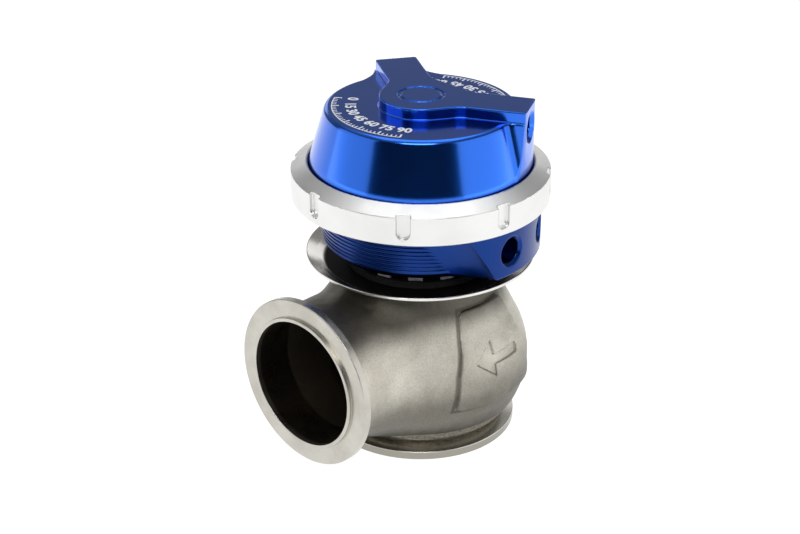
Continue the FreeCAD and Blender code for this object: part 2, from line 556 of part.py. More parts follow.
# --------------------------------------------------------------------------
# stem bush, seal and its circlip in the base's hub
# --------------------------------------------------------------------------
bush = new_body("stem_bush")
turned(bush, "sleeve", [
    (D.guide_bore_r, D.bush_low_z), (D.bush_r, D.bush_low_z), (D.bush_r, D.bush_top_z), (D.guide_bore_r, D.bush_top_z)])
PARTS.append(bush)
seal = new_body("stem_seal")
turned(seal, "lip_seal", [
    (D.guide_bore_r, D.seal_low_z), (D.seal_r, D.seal_low_z), (D.seal_r, D.seal_top_z), (D.seal_r - 1.4, D.seal_top_z), (D.seal_r - 1.4, D.seal_low_z + 1.2),
    (D.guide_bore_r + 1.2, D.seal_low_z + 1.2), (D.guide_bore_r + 0.7, D.seal_top_z - 0.4), (D.guide_bore_r, D.seal_top_z - 0.4)])
PARTS.append(seal)
clip = new_body("seal_circlip")
turned(clip, "wire", [
    (D.clip_r - 1.9, D.seal_top_z), (D.clip_r, D.seal_top_z), (D.clip_r, D.seal_top_z + D.clip_t), (D.clip_r - 1.9, D.seal_top_z + D.clip_t)], angle=318)
PARTS.append(clip)

# --------------------------------------------------------------------------
# diaphragm: rolled rubber sheet, clamped between base and cap, bead in its groove
# --------------------------------------------------------------------------
dia = new_body("diaphragm")
half_t = D.roll_t * 0.5
low = D.shoulder_z + D.plate_t
turned(dia, "sheet", [
    (D.stud_hole_r, low), (D.roll_mid_r - D.roll_r + half_t, low), (D.roll_mid_r - D.roll_r + half_t, D.roll_z),
    (D.roll_mid_r + D.roll_r - half_t, D.roll_z, D.roll_r - half_t + 0.001, 1),
    (D.roll_mid_r + D.roll_r - half_t, D.base_top_z), (D.bead_groove_in + 0.2, D.base_top_z), (D.bead_groove_in + 0.2, D.bead_groove_z + 0.3),
    (D.bead_groove_out - 0.2, D.bead_groove_z + 0.3), (D.bead_groove_out - 0.2, D.base_top_z), (D.dia_out_r, D.base_top_z), (D.dia_out_r, D.base_top_z + D.dia_t),
    (D.roll_mid_r + D.roll_r + half_t, D.base_top_z + D.dia_t), (D.roll_mid_r + D.roll_r + half_t, D.roll_z),
    (D.roll_mid_r - D.roll_r - half_t, D.roll_z, D.roll_r + half_t + 0.001, -1),
    (D.roll_mid_r - D.roll_r - half_t, low + D.dia_t), (D.stud_hole_r, low + D.dia_t)])
PARTS.append(dia)

# --------------------------------------------------------------------------
# plates that clamp the diaphragm to the valve, with washer and nut
# --------------------------------------------------------------------------
lower = new_body("lower_plate")
turned(lower, "disc", [
    (D.stud_hole_r, D.shoulder_z), (D.plate_r - 1.2, D.shoulder_z), (D.plate_r, D.shoulder_z + 1.2), (D.plate_r, low), (D.stud_hole_r, low)])
PARTS.append(lower)
cup = new_body("piston_cup")
cup_low = low + D.dia_t
turned(cup, "cup", [
    (D.stud_hole_r, cup_low), (D.plate_r - 0.6, cup_low), (D.plate_r, cup_low + 0.6), (D.plate_r, D.plate_rim_z - 0.4), (D.plate_r - 0.4, D.plate_rim_z), (D.plate_r - D.plate_rim_w + 0.4, D.plate_rim_z),
    (D.plate_r - D.plate_rim_w, D.plate_rim_z - 0.4), (D.plate_r - D.plate_rim_w, D.spring_low_z), (D.stud_hole_r, D.spring_low_z)])
PARTS.append(cup)
washer = new_body("stem_washer")
turned(washer, "ring", [
    (D.stud_hole_r, D.spring_low_z), (D.washer_r, D.spring_low_z), (D.washer_r, D.spring_low_z + D.washer_t), (D.stud_hole_r, D.spring_low_z + D.washer_t)])
PARTS.append(washer)
nut = new_body("stem_nut")
sk = new_sketch(nut, "XY_Plane", "hexagon_sketch", base=(0, 0, D.spring_low_z + D.washer_t))
outline(sk, [(D.nut_af * (0.57735 * math.cos(math.radians(60 * k))), D.nut_af * (0.57735 * math.sin(math.radians(60 * k)))) for k in range(6)])
circle(sk, 0, 0, D.stud_hole_r)
pad(nut, "hexagon", sk, D.nut_t)
turned(nut, "nut_corners", [
    (D.nut_af * 0.5, D.spring_low_z + D.washer_t + D.nut_t), (D.nut_af * 0.7, D.spring_low_z + D.washer_t + D.nut_t - 1.16), (D.nut_af * 0.7, D.spring_low_z + D.washer_t + D.nut_t + 1.0),
    (D.nut_af * 0.5, D.spring_low_z + D.washer_t + D.nut_t + 1.0)], groove=True)
PARTS.append(nut)

# --------------------------------------------------------------------------
# top cap: spring chamber with flange, cone, hub and two port arms
# --------------------------------------------------------------------------
cap = new_body("top_cap")
turned(cap, "shell", [
    (0, D.cap_low_z), (D.cap_flange_r, D.cap_low_z), (D.cap_flange_r, D.cap_flange_z), (D.cap_r, D.cap_flange_z), (D.cap_r, D.cone_low_z),
    (D.cone_top_r, D.plate_z), (0, D.plate_z)])
round_edges(cap, "plate_edge", D.edge_r, lambda e: isinstance(e.Curve, Part.Circle) and abs(e.Curve.Radius - D.cone_top_r.v) < 0.01)
sk = new_sketch(cap, "XY_Plane", "hub_sketch", base=(0, 0, D.cap_roof_z))
circle(sk, 0, 0, D.cap_hub_r)
pad(cap, "hub", sk, D.hub_top_z - D.cap_roof_z)
for n, ang in enumerate((D.arm_angle_a, D.arm_angle_b)):
    sk = new_sketch(cap, "YZ_Plane", "arm_sketch_%d" % (n + 1), turn=((0, 1, 0), ang))
    outline(sk, [(D.arm_foot_half * -1.0, D.arm_foot_z), (D.arm_foot_half, D.arm_foot_z), (D.arm_half, D.plate_z), (D.arm_half, D.hub_top_z), (D.arm_half * -1.0, D.hub_top_z),
                 (D.arm_half * -1.0, D.plate_z)])
    pad(cap, "arm_%d" % (n + 1), sk, D.arm_end)
turned(cap, "trim", [(D.cap_r, D.cap_flange_z), (D.cap_r + 12.0, D.cap_flange_z), (D.cap_r + 12.0, D.hub_top_z + 2.0), (D.cap_r, D.hub_top_z + 2.0)], groove=True)


def hub_corner(e):
    b = e.BoundBox
    return isinstance(e.Curve, Part.Line) and b.ZMin > 118.9 and b.ZMax - b.ZMin > 3.0 and abs(b.XMax - b.XMin) < 0.01 and abs(b.YMax - b.YMin) < 0.01 and math.hypot(b.XMin, b.YMin) < 15.0


round_edges(cap, "hub_blends", 5.0, hub_corner)
turned(cap, "spring_chamber", [
    (0, D.cap_low_z - 1.0), (D.cap_bore_r, D.cap_low_z - 1.0), (D.cap_bore_r, D.cap_bore_z), (D.cap_mid_r, D.cap_bore_z + 2.0), (D.cap_mid_r, D.cap_mid_z),
    (D.cap_roof_r, D.cap_roof_z), (0, D.cap_roof_z)], groove=True)
for n, ang in enumerate((D.arm_angle_a, D.arm_angle_b)):
    sk = new_sketch(cap, "YZ_Plane", "cap_port_sketch_%d" % (n + 1), turn=((0, 1, 0), ang))
    sk.AttachmentOffset = FreeCAD.Placement(FreeCAD.Rotation(V(0, 1, 0), ang.v).multVec(V(0, 0, D.cap_r.v + 3.0)), FreeCAD.Rotation(V(0, 1, 0), ang.v))
    circle(sk, 0, D.cap_port_z, D.port_r)
    pocket(cap, "cap_port_%d" % (n + 1), sk, D.cap_r + 3.0 - D.cap_roof_r + 0.6)


def cap_mouth(e):
    return isinstance(e.Curve, Part.Circle) and abs(e.Curve.Radius - D.port_r.v) < 0.01 and e.BoundBox.ZMax > 119.0 and abs(math.hypot(e.CenterOfMass.x, e.CenterOfMass.y) - D.arm_end.v) < 0.6


round_edges(cap, "cap_mouths", 1.3, cap_mouth, chamfer=True)


def cap_top_edge(e):
    b = e.BoundBox
    return abs(b.ZMin - D.hub_top_z.v) < 0.01 and abs(b.ZMax - D.hub_top_z.v) < 0.01


round_edges(cap, "top_edges", 0.4, cap_top_edge)
PARTS.append(cap)

# --------------------------------------------------------------------------
# slip ring between the collar's lip and the cap's flange
# --------------------------------------------------------------------------
slip = new_body("slip_ring")
slip_low = D.cap_flange_z + 0.05
turned(slip, "washer", [
    (D.slip_in_r, slip_low), (D.cap_flange_r - 0.2, slip_low), (D.cap_flange_r - 0.2, slip_low + D.slip_t), (D.slip_in_r, slip_low + D.slip_t)])
PARTS.append(slip)

# --------------------------------------------------------------------------
# locking collar: screws onto the base and holds the cap down by its lip
# --------------------------------------------------------------------------
collar = new_body("locking_collar")
turned(collar, "band", [
    (D.collar_bore_r + 0.7, D.collar_low_z), (D.collar_r - 0.4, D.collar_low_z), (D.collar_r, D.collar_low_z + 0.4), (D.collar_r, D.collar_wall_z),
    (D.collar_top_r, D.collar_top_z), (D.collar_lip_r + 0.3, D.collar_top_z), (D.collar_lip_r, D.collar_top_z - 0.3), (D.collar_lip_r, D.collar_lip_z),
    (D.collar_bore_r, D.collar_lip_z), (D.collar_bore_r, D.collar_low_z + 0.7)])
sk = new_sketch(collar, "YZ_Plane", "slot_sketch", turn=((0, 1, 0), D.slot_angle))
flat = D.collar_r - D.slot_deep
sk.AttachmentOffset = FreeCAD.Placement(FreeCAD.Rotation(V(0, 1, 0), D.slot_angle.v).multVec(V(0, 0, flat.v)), FreeCAD.Rotation(V(0, 1, 0), D.slot_angle.v))
half_w = D.slot_wide * 0.5
outline(sk, [(half_w * -1.0, D.collar_top_z + 1.0), (half_w * -1.0, D.slot_low_z + half_w), (half_w, D.slot_low_z + half_w, half_w + 0.001, -1),
             (half_w, D.collar_top_z + 1.0)])
slot = pocket(collar, "slot", sk, 6.0, reverse=True)
around(collar, "slots", [slot], D.slot_count)
PARTS.append(collar)

# --------------------------------------------------------------------------
# three nested springs between the piston cup and the cap's roof
# --------------------------------------------------------------------------
for label, coil, wire, turns in (("outer_spring", D.outer_coil_r, D.outer_wire_r, D.outer_turns),
                                 ("middle_spring", D.middle_coil_r, D.middle_wire_r, D.middle_turns),
                                 ("inner_spring", D.inner_coil_r, D.inner_wire_r, D.inner_turns)):
    tall = D.cap_roof_z - D.spring_low_z - wire * 2.0 - D.spring_gap * 2.0
    start = D.spring_low_z + wire + D.spring_gap
    helix = doc.addObject("Part::Helix", label + "_path")
    helix.Pitch, helix.Height, helix.Radius = (tall / turns).v, tall.v, coil.v
    helix.setExpression("Pitch", (tall / turns).t)
    helix.setExpression("Height", tall.t)
    helix.setExpression("Radius", coil.t)
    helix.Placement = FreeCAD.Placement(V(0, 0, start.v), FreeCAD.Rotation())
    helix.setExpression("Placement.Base.z", start.t)
    section = doc.addObject("Part::Circle", label + "_section")
    section.Radius = wire.v
    section.setExpression("Radius", wire.t)
    # the wire's section stands square to the helix
    rise = math.degrees(math.atan((tall / turns).v / (2.0 * math.pi * coil.v)))
    section.Placement = FreeCAD.Placement(V(coil.v, 0, start.v), FreeCAD.Rotation(V(-1, 0, 0), 90.0 - rise))
    section.setExpression("Placement.Base.x", coil.t)
    section.setExpression("Placement.Base.z", start.t)
    sweep = doc.addObject("Part::Sweep", label)
    sweep.Label = label
    sweep.Sections = [section]
    sweep.Spine = (helix, [])
    sweep.Solid = True
    sweep.Frenet = True
    doc.recompute()
    PARTS.append(sweep)

# --------------------------------------------------------------------------
# check everything, then write one STEP file for each piece
# --------------------------------------------------------------------------
doc.recompute()
for o in doc.Objects:
    if "Invalid" in o.State or "Error" in o.State:
        raise RuntimeError("%s failed: %s" % (o.Label, o.State))
labels = set()
for piece in PARTS:
    shape = piece.Shape
    if shape.isNull() or not shape.isValid() or not shape.Solids or shape.Volume <= 0:
        raise RuntimeError("%s has no valid solid" % piece.Label)
    if piece.Label in labels or len(piece.Label) >= 60:
        raise RuntimeError("label %s is not usable" % piece.Label)
    labels.add(piece.Label)
for piece in PARTS:
    piece.Shape.exportStep("parts/%s.step" % piece.Label)
    print("%-18s %d solid(s) %10.1f mm3" % (piece.Label, len(piece.Shape.Solids), piece.Shape.Volume))
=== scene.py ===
"""Looks for a turbo wastegate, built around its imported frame. All shape code works in millimetres."""
import bpy
import math
import numpy as np
from mathutils import Matrix, Vector


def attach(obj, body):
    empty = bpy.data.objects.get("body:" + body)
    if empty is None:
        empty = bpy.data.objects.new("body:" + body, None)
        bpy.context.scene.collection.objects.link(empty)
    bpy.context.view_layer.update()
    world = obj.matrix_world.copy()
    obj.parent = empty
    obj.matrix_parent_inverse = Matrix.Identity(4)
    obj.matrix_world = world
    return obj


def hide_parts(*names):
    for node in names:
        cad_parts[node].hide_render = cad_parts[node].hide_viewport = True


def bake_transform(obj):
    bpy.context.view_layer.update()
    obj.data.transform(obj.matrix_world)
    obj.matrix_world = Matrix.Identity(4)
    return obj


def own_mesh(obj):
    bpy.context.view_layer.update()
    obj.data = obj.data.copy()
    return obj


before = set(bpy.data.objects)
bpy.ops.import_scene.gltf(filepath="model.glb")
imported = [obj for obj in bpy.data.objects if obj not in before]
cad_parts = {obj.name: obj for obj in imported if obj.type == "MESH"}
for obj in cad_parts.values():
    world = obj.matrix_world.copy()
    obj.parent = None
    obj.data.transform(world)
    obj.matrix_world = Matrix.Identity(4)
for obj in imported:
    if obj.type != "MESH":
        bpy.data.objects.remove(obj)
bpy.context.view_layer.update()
MM = 0.001


# ------------------------------------------------------------------ mesh helpers
def make_object(name, verts, faces, normals=None, slot=None, body="root", replaces=(), mat=None):
    me = bpy.data.meshes.new(name)
    me.from_pydata((np.asarray(verts, float) * MM).tolist(), [], [tuple(f) for f in faces])
    me.update()
    me.polygons.foreach_set("use_smooth", [True] * len(me.polygons))
    if normals is not None:
        me.normals_split_custom_set_from_vertices(np.asarray(normals, float).tolist())
    ob = bpy.data.objects.new(name, me)
    bpy.context.scene.collection.objects.link(ob)
    if mat is not None:
        me.materials.append(mat)
    if body:
        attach(ob, body)
    for node in replaces:
        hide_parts(node)
    return ob


def rounded(profile, least=0.06):
    """Closed (r, z[, radius]) polygon to a list of (r, z, nr, nz) with every corner rounded; counter-clockwise."""
    pts = [(p[0], p[1], p[2] if len(p) > 2 else least) for p in profile]
    area = sum(pts[i][0] * pts[(i + 1) % len(pts)][1] - pts[(i + 1) % len(pts)][0] * pts[i][1] for i in range(len(pts)))
    if area < 0:
        pts.reverse()
    n, out = len(pts), []
    for i in range(n):
        a, b, c = pts[i - 1], pts[i], pts[(i + 1) % n]
        u = np.array([b[0] - a[0], b[1] - a[1]], float)
        w = np.array([c[0] - b[0], c[1] - b[1]], float)
        lu, lw = np.hypot(*u), np.hypot(*w)
        u, w = u / lu, w / lw
        if b[0] < 1e-6:
            nrm = (w[1], -w[0]) if a[0] < 1e-6 else (u[1], -u[0])
            out.append((0.0, b[1], 0.0, math.copysign(1.0, nrm[1]) if abs(nrm[1]) > 0.2 else nrm[1]))
            continue
        turn = math.atan2(u[0] * w[1] - u[1] * w[0], u[0] * w[0] + u[1] * w[1])
        if abs(turn) < 0.02:
            m = (u + w) / np.hypot(*(u + w))
            out.append((b[0], b[1], m[1], -m[0]))
            continue
        t = min(b[2] * math.tan(abs(turn) / 2), lu * 0.45, lw * 0.45)
        rad = t / math.tan(abs(turn) / 2)
        s = np.array([b[0], b[1]]) - u * t
        side = 1.0 if turn > 0 else -1.0
        cen = s + np.array([-u[1], u[0]]) * rad * side
        k = max(2, int(math.ceil(abs(turn) / math.radians(24 if rad < 1 else 9))))
        for j in range(k + 1):
            ang = turn * j / k
            nx, ny = u[1], -u[0]
            rx = nx * math.cos(ang) - ny * math.sin(ang)
            ry = nx * math.sin(ang) + ny * math.cos(ang)
            out.append((cen[0] + rx * rad * side, cen[1] + ry * rad * side, rx, ry))
    return out


def lathe(name, profile, seg=None, place=None, twist=None, **kw):
    """Turned solid about Z, or about another axis through place(x, y, z)."""
    seg = seg or (240)
    prof = rounded(profile)
    verts, norms, rings = [], [], []
    for r, z, nr, nz in prof:
        if r < 1e-6:
            rings.append([len(verts)] * seg)
            verts.append((0, 0, z))
            norms.append((0, 0, math.copysign(1, nz)))
            continue
        rings.append(list(range(len(verts), len(verts) + seg)))
        for j in range(seg):
            a = 2 * math.pi * j / seg
            ca, sa = math.cos(a), math.sin(a)
            verts.append((r * ca, r * sa, z))
            norms.append((nr * ca, nr * sa, nz))
    faces = []
    for i in range(len(rings)):
        p, q = rings[i], rings[(i + 1) % len(rings)]
        if p[0] == p[1] and q[0] == q[1]:
            continue
        for j in range(seg):
            k = (j + 1) % seg
            f = [p[j], p[k], q[k], q[j]]
            f = [v for n_, v in enumerate(f) if v not in f[:n_]]
            if len(f) > 2:
                faces.append(f)
    verts, norms = np.array(verts, float), np.array(norms, float)
    if place is not None:
        verts, norms = place(verts, False), place(norms, True)
    return make_object(name, verts, faces, norms, **kw)


def outlet_frame(v, direction):
    """Local (u, v, t) of the outlet's axis to the row frame; t runs along -Y."""
    return np.stack([v[:, 0], -v[:, 2], v[:, 1] + (0.0 if direction else 35.24)], 1)


def surface(f, lo, hi, h):
    """Surface nets over a signed distance, evaluated only near its surface, then pulled onto it. Returns verts, quads, normals."""
    lo, hi = np.array(lo, float), np.array(hi, float)
    B = 8
    nb = np.ceil((hi - lo) / (B * h)).astype(int)
    n = nb * B + 1
    bi = np.stack(np.meshgrid(*[np.arange(k) for k in nb], indexing="ij"), -1).reshape(-1, 3)
    dc = f(lo + (bi + 0.5) * B * h)
    near = np.abs(dc) < B * h * 0.5 * math.sqrt(3) * 1.25 + h
    grid = np.empty(n, np.float32)
    off = np.stack(np.meshgrid(*[np.arange(B + 1)] * 3, indexing="ij"), -1).reshape(-1, 3)
    for b, d in zip(bi[~near], dc[~near]):
        i, j, k = b * B
        grid[i:i + B + 1, j:j + B + 1, k:k + B + 1] = d
    live = bi[near] * B
    for s in range(0, len(live), 300):
        blk = live[s:s + 300]
        node = blk[:, None, :] + off[None, :, :]
        val = f(lo + node.reshape(-1, 3) * h).reshape(len(blk), B + 1, B + 1, B + 1)
        for (i, j, k), v in zip(blk, val):
            grid[i:i + B + 1, j:j + B + 1, k:k + B + 1] = v
    ins = grid < 0
    cnt = np.zeros(np.array(n) - 1, np.uint8)
    for a in (0, 1):
        for b in (0, 1):
            for c in (0, 1):
                cnt += ins[a:n[0] - 1 + a, b:n[1] - 1 + b, c:n[2] - 1 + c]
    cells = np.argwhere((cnt > 0) & (cnt < 8))
    index = np.full(cnt.shape, -1, np.int32)
    index[tuple(cells.T)] = np.arange(len(cells))
    acc, num = np.zeros((len(cells), 3)), np.zeros(len(cells))
    for ax in range(3):
        o1, o2 = [q for q in range(3) if q != ax]
        for a in (0, 1):
            for b in (0, 1):
                p = cells.copy()
                p[:, o1] += a
                p[:, o2] += b
                q = p.copy()
                q[:, ax] += 1
                v0, v1 = grid[tuple(p.T)], grid[tuple(q.T)]
                m = (v0 < 0) != (v1 < 0)
                t = v0[m] / (v0[m] - v1[m])
                pos = np.zeros((int(m.sum()), 3))
                pos[:, ax], pos[:, o1], pos[:, o2] = t, a, b
                acc[m] += pos
                num[m] += 1
    verts = lo + (cells + acc / num[:, None]) * h
    quads = []
    for ax in range(3):
        o1, o2 = (ax + 1) % 3, (ax + 2) % 3
        a = [slice(None)] * 3
        b = [slice(None)] * 3
        a[ax], b[ax] = slice(0, n[ax] - 1), slice(1, n[ax])
        s0, s1 = ins[tuple(a)], ins[tuple(b)]
        e = np.argwhere(s0 != s1)
        e = e[(e[:, o1] > 0) & (e[:, o2] > 0) & (e[:, o1] < n[o1] - 1) & (e[:, o2] < n[o2] - 1)]
        flip = ~s0[tuple(e.T)]
        ring = []
        for da, db in ((-1, -1), (0, -1), (0, 0), (-1, 0)):
            c = e.copy()
            c[:, o1] += da
            c[:, o2] += db
            ring.append(index[tuple(c.T)])
        ring = np.stack(ring, 1)
        ring[flip] = ring[flip][:, ::-1]
        quads.append(ring)
    quads = np.concatenate(quads)

    def slope(p, e):
        g = np.empty_like(p)
        for k in range(3):
            d = np.zeros(3)
            d[k] = e
            g[:, k] = (f(p + d) - f(p - d)) / (2 * e)
        return g

    for _ in range(2):
        g = slope(verts, 0.1 * h)
        d = f(verts)
        step = -(d / np.maximum((g * g).sum(1), 0.2))[:, None] * g
        ln = np.maximum(np.linalg.norm(step, axis=1, keepdims=True), 1e-9)
        verts = verts + step * np.minimum(1.0, 0.6 * h / ln)
    g = slope(verts, 0.12 * h)
    g /= np.maximum(np.linalg.norm(g, axis=1, keepdims=True), 1e-9)
    return verts, quads, g


def sdf_object(name, f, lo, hi, h, **kw):
    v, q, g = surface(f, lo, hi, h)
    return make_object(name, v, q.tolist(), g, **kw)


def meet(a, b, r):
    """Intersection with its edge rounded to radius r."""
    return np.minimum(-r, np.maximum(a, b)) + np.hypot(np.maximum(r + a, 0), np.maximum(r + b, 0))


def join(a, b, r):
    """Union with a fillet of radius r."""
    return np.maximum(r, np.minimum(a, b)) - np.hypot(np.maximum(r - a, 0), np.maximum(r - b, 0))


def melt(a, b, k):
    """Soft union."""
    return np.minimum(a, b) - np.maximum(k - np.abs(a - b), 0) ** 2 / (4 * k)


def polygon(r, z, pts):
    """Signed distance to a closed polygon in the (r, z) plane."""
    d = np.full(r.shape, 1e9)
    sgn = np.zeros(r.shape, bool)
    for i in range(len(pts)):
        (ax, ay), (bx, by) = pts[i - 1], pts[i]
        ex, ey = bx - ax, by - ay
        wx, wy = r - ax, z - ay
        t = np.clip((wx * ex + wy * ey) / (ex * ex + ey * ey), 0, 1)
        d = np.minimum(d, (wx - ex * t) ** 2 + (wy - ey * t) ** 2)
        if ey != 0:
            cross = ((ay <= z) & (by > z)) | ((by <= z) & (ay > z))
            xi = ax + (z - ay) * ex / ey
            sgn ^= cross & (r < xi)
    return np.where(sgn, -1.0, 1.0) * np.sqrt(d)


def lattice(seed, size=16):
    rng = np.random.default_rng(seed)
    return rng.random((size, size, size)) * 2 - 1


def noise(p, scale, table):
    """Smooth value noise of unit amplitude, one cell every `scale` mm."""
    q = p / scale
    i = np.floor(q).astype(int)
    t = q - i
    t = t * t * (3 - 2 * t)
    n = table.shape[0]
    out = 0
    for a in (0, 1):
        for b in (0, 1):
            for c in (0, 1):
                w = (t[:, 0] if a else 1 - t[:, 0]) * (t[:, 1] if b else 1 - t[:, 1]) * (t[:, 2] if c else 1 - t[:, 2])
                out = out + w * table[(i[:, 0] + a) % n, (i[:, 1] + b) % n, (i[:, 2] + c) % n]
    return out


# ------------------------------------------------------------------ material helpers
class Mat:
    """A Principled material whose pattern comes from object coordinates, in metres."""

    def __init__(self, name, color, metallic=1.0, rough=0.3, **sockets):
        self.m = bpy.data.materials.new(name)
        self.m.use_nodes = True
        self.t = self.m.node_tree
        self.t.nodes.clear()
        self.out = self.t.nodes.new("ShaderNodeOutputMaterial")
        self.p = self.t.nodes.new("ShaderNodeBsdfPrincipled")
        self.t.links.new(self.p.outputs[0], self.out.inputs[0])
        self.set("Base Color", (*color, 1))
        self.set("Metallic", metallic)
        self.set("Roughness", rough)
        for k, v in sockets.items():
            self.set(k.replace("_", " "), v)
        self.co = self.t.nodes.new("ShaderNodeTexCoord").outputs["Object"]
        self.height = None

    def set(self, key, v):
        self.p.inputs[key].default_value = v

    def link(self, a, b):
        self.t.links.new(a, b)

    def math(self, op, a, b=None, c=None, clamp=False):
        n = self.t.nodes.new("ShaderNodeMath")
        n.operation = op
        n.use_clamp = clamp
        for k, v in enumerate((a, b, c)):
            if v is None:
                continue
            if isinstance(v, (int, float)):
                n.inputs[k].default_value = v
            else:
                self.link(v, n.inputs[k])
        return n.outputs[0]

    def xyz(self):
        n = self.t.nodes.new("ShaderNodeSeparateXYZ")
        self.link(self.co, n.inputs[0])
        return n.outputs

    def vec(self, x, y, z):
        n = self.t.nodes.new("ShaderNodeCombineXYZ")
        for k, v in enumerate((x, y, z)):
            if isinstance(v, (int, float)):
                n.inputs[k].default_value = v
            else:
                self.link(v, n.inputs[k])
        return n.outputs[0]

    def noise(self, scale, detail=3.0, rough=0.55, vec=None):
        n = self.t.nodes.new("ShaderNodeTexNoise")
        n.inputs["Scale"].default_value = scale
        n.inputs["Detail"].default_value = detail
        n.inputs["Roughness"].default_value = rough
        self.link(vec if vec is not None else self.co, n.inputs["Vector"])
        return n.outputs[0]

    def spots(self, scale, vec=None):
        n = self.t.nodes.new("ShaderNodeTexVoronoi")
        n.inputs["Scale"].default_value = scale
        self.link(vec if vec is not None else self.co, n.inputs["Vector"])
        return n.outputs["Distance"]

    def ramp(self, x, a, b, lo=0.0, hi=1.0, smooth=True):
        """Maps x from a..b to lo..hi."""
        n = self.t.nodes.new("ShaderNodeMapRange")
        n.interpolation_type = "SMOOTHSTEP" if smooth else "LINEAR"
        n.inputs["From Min"].default_value = a
        n.inputs["From Max"].default_value = b
        n.inputs["To Min"].default_value = lo
        n.inputs["To Max"].default_value = hi
        self.link(x, n.inputs["Value"])
        return n.outputs[0]

    def mix(self, fac, a, b):
        n = self.t.nodes.new("ShaderNodeMix")
        n.data_type = "RGBA"
        if isinstance(fac, (int, float)):
            n.inputs[0].default_value = fac
        else:
            self.link(fac, n.inputs[0])
        for k, v in ((6, a), (7, b)):
            if isinstance(v, tuple):
                n.inputs[k].default_value = (*v[:3], 1)
            else:
                self.link(v, n.inputs[k])
        return n.outputs[2]

    def color(self, sock):
        self.link(sock, self.p.inputs["Base Color"])

    def rough(self, sock):
        self.link(sock, self.p.inputs["Roughness"])

    def bump(self, height, dist_mm, strength=1.0):
        n = self.t.nodes.new("ShaderNodeBump")
        n.inputs["Distance"].default_value = dist_mm * MM
        n.inputs["Strength"].default_value = strength
        self.link(height, n.inputs["Height"])
        if self.height is not None:
            self.link(self.height, n.inputs["Normal"])
        self.height = n.outputs[0]
        self.link(self.height, self.p.inputs["Normal"])

    def radial(self, axis="z", zc=0.0):
        """(distance from the turning axis, distance along it)."""
        x, y, z = self.xyz()
        if axis == "y":
            z = self.math("SUBTRACT", z, zc)
            a, b, c = x, z, y
        else:
            a, b, c = x, y, z
        r = self.math("SQRT", self.math("ADD", self.math("MULTIPLY", a, a), self.math("MULTIPLY", b, b)))
        return r, c


def turned_lines(m, axis="z", zc=0.0, pitch_mm=0.16, depth=0.004, grain=0.35, slow=True):
    """Fine circular tool marks as a bump; returns their pattern, which a caller may use to vary the sheen."""
    r, c = m.radial(axis, zc)
    k = 1000.0 / pitch_mm
    lines = m.noise(1.0, 2.0, 0.6, m.vec(m.math("MULTIPLY", r, k), 0.0, m.math("MULTIPLY", c, k)))
    m.bump(lines, depth)
    return lines


def anodised(name, color, rough=0.26, coat=1.0, coat_rough=0.12, lines=True, **kw):
    m = Mat(name, color, 1.0, rough, Coat_Weight=coat, Coat_Roughness=coat_rough, Coat_IOR=1.5)
    fine = m.noise(5200.0, 2.0, 0.6)
    broad = m.noise(26.0, 2.0, 0.5)
    m.color(m.mix(m.ramp(broad, 0.3, 0.7), tuple(c * 0.97 for c in color), tuple(min(1.0, c * 1.03) for c in color)))
    m.rough(m.math("ADD", m.ramp(broad, 0.3, 0.7, rough - 0.01, rough + 0.01), m.math("MULTIPLY", fine, 0.02)))
    m.bump(fine, 0.0010)
    if lines:
        turned_lines(m, pitch_mm=0.22, depth=0.0010)
    return m


def machined(name, color, rough=0.25, axis="z", zc=0.0, pitch=0.18, depth=0.004, dirt=0.1):
    m = Mat(name, color, 1.0, rough)
    lines = turned_lines(m, axis, zc, pitch, depth)
    broad = m.noise(90.0, 4.0, 0.6)
    m.color(m.mix(m.ramp(broad, 0.3, 0.72), tuple(c * (1 - dirt) for c in color), color))
    m.rough(m.math("ADD", m.ramp(broad, 0.3, 0.7, rough + 0.06, rough - 0.02), m.math("MULTIPLY", lines, 0.08)))
    m.bump(m.noise(3500.0, 3.0, 0.6), 0.0015)
    return m


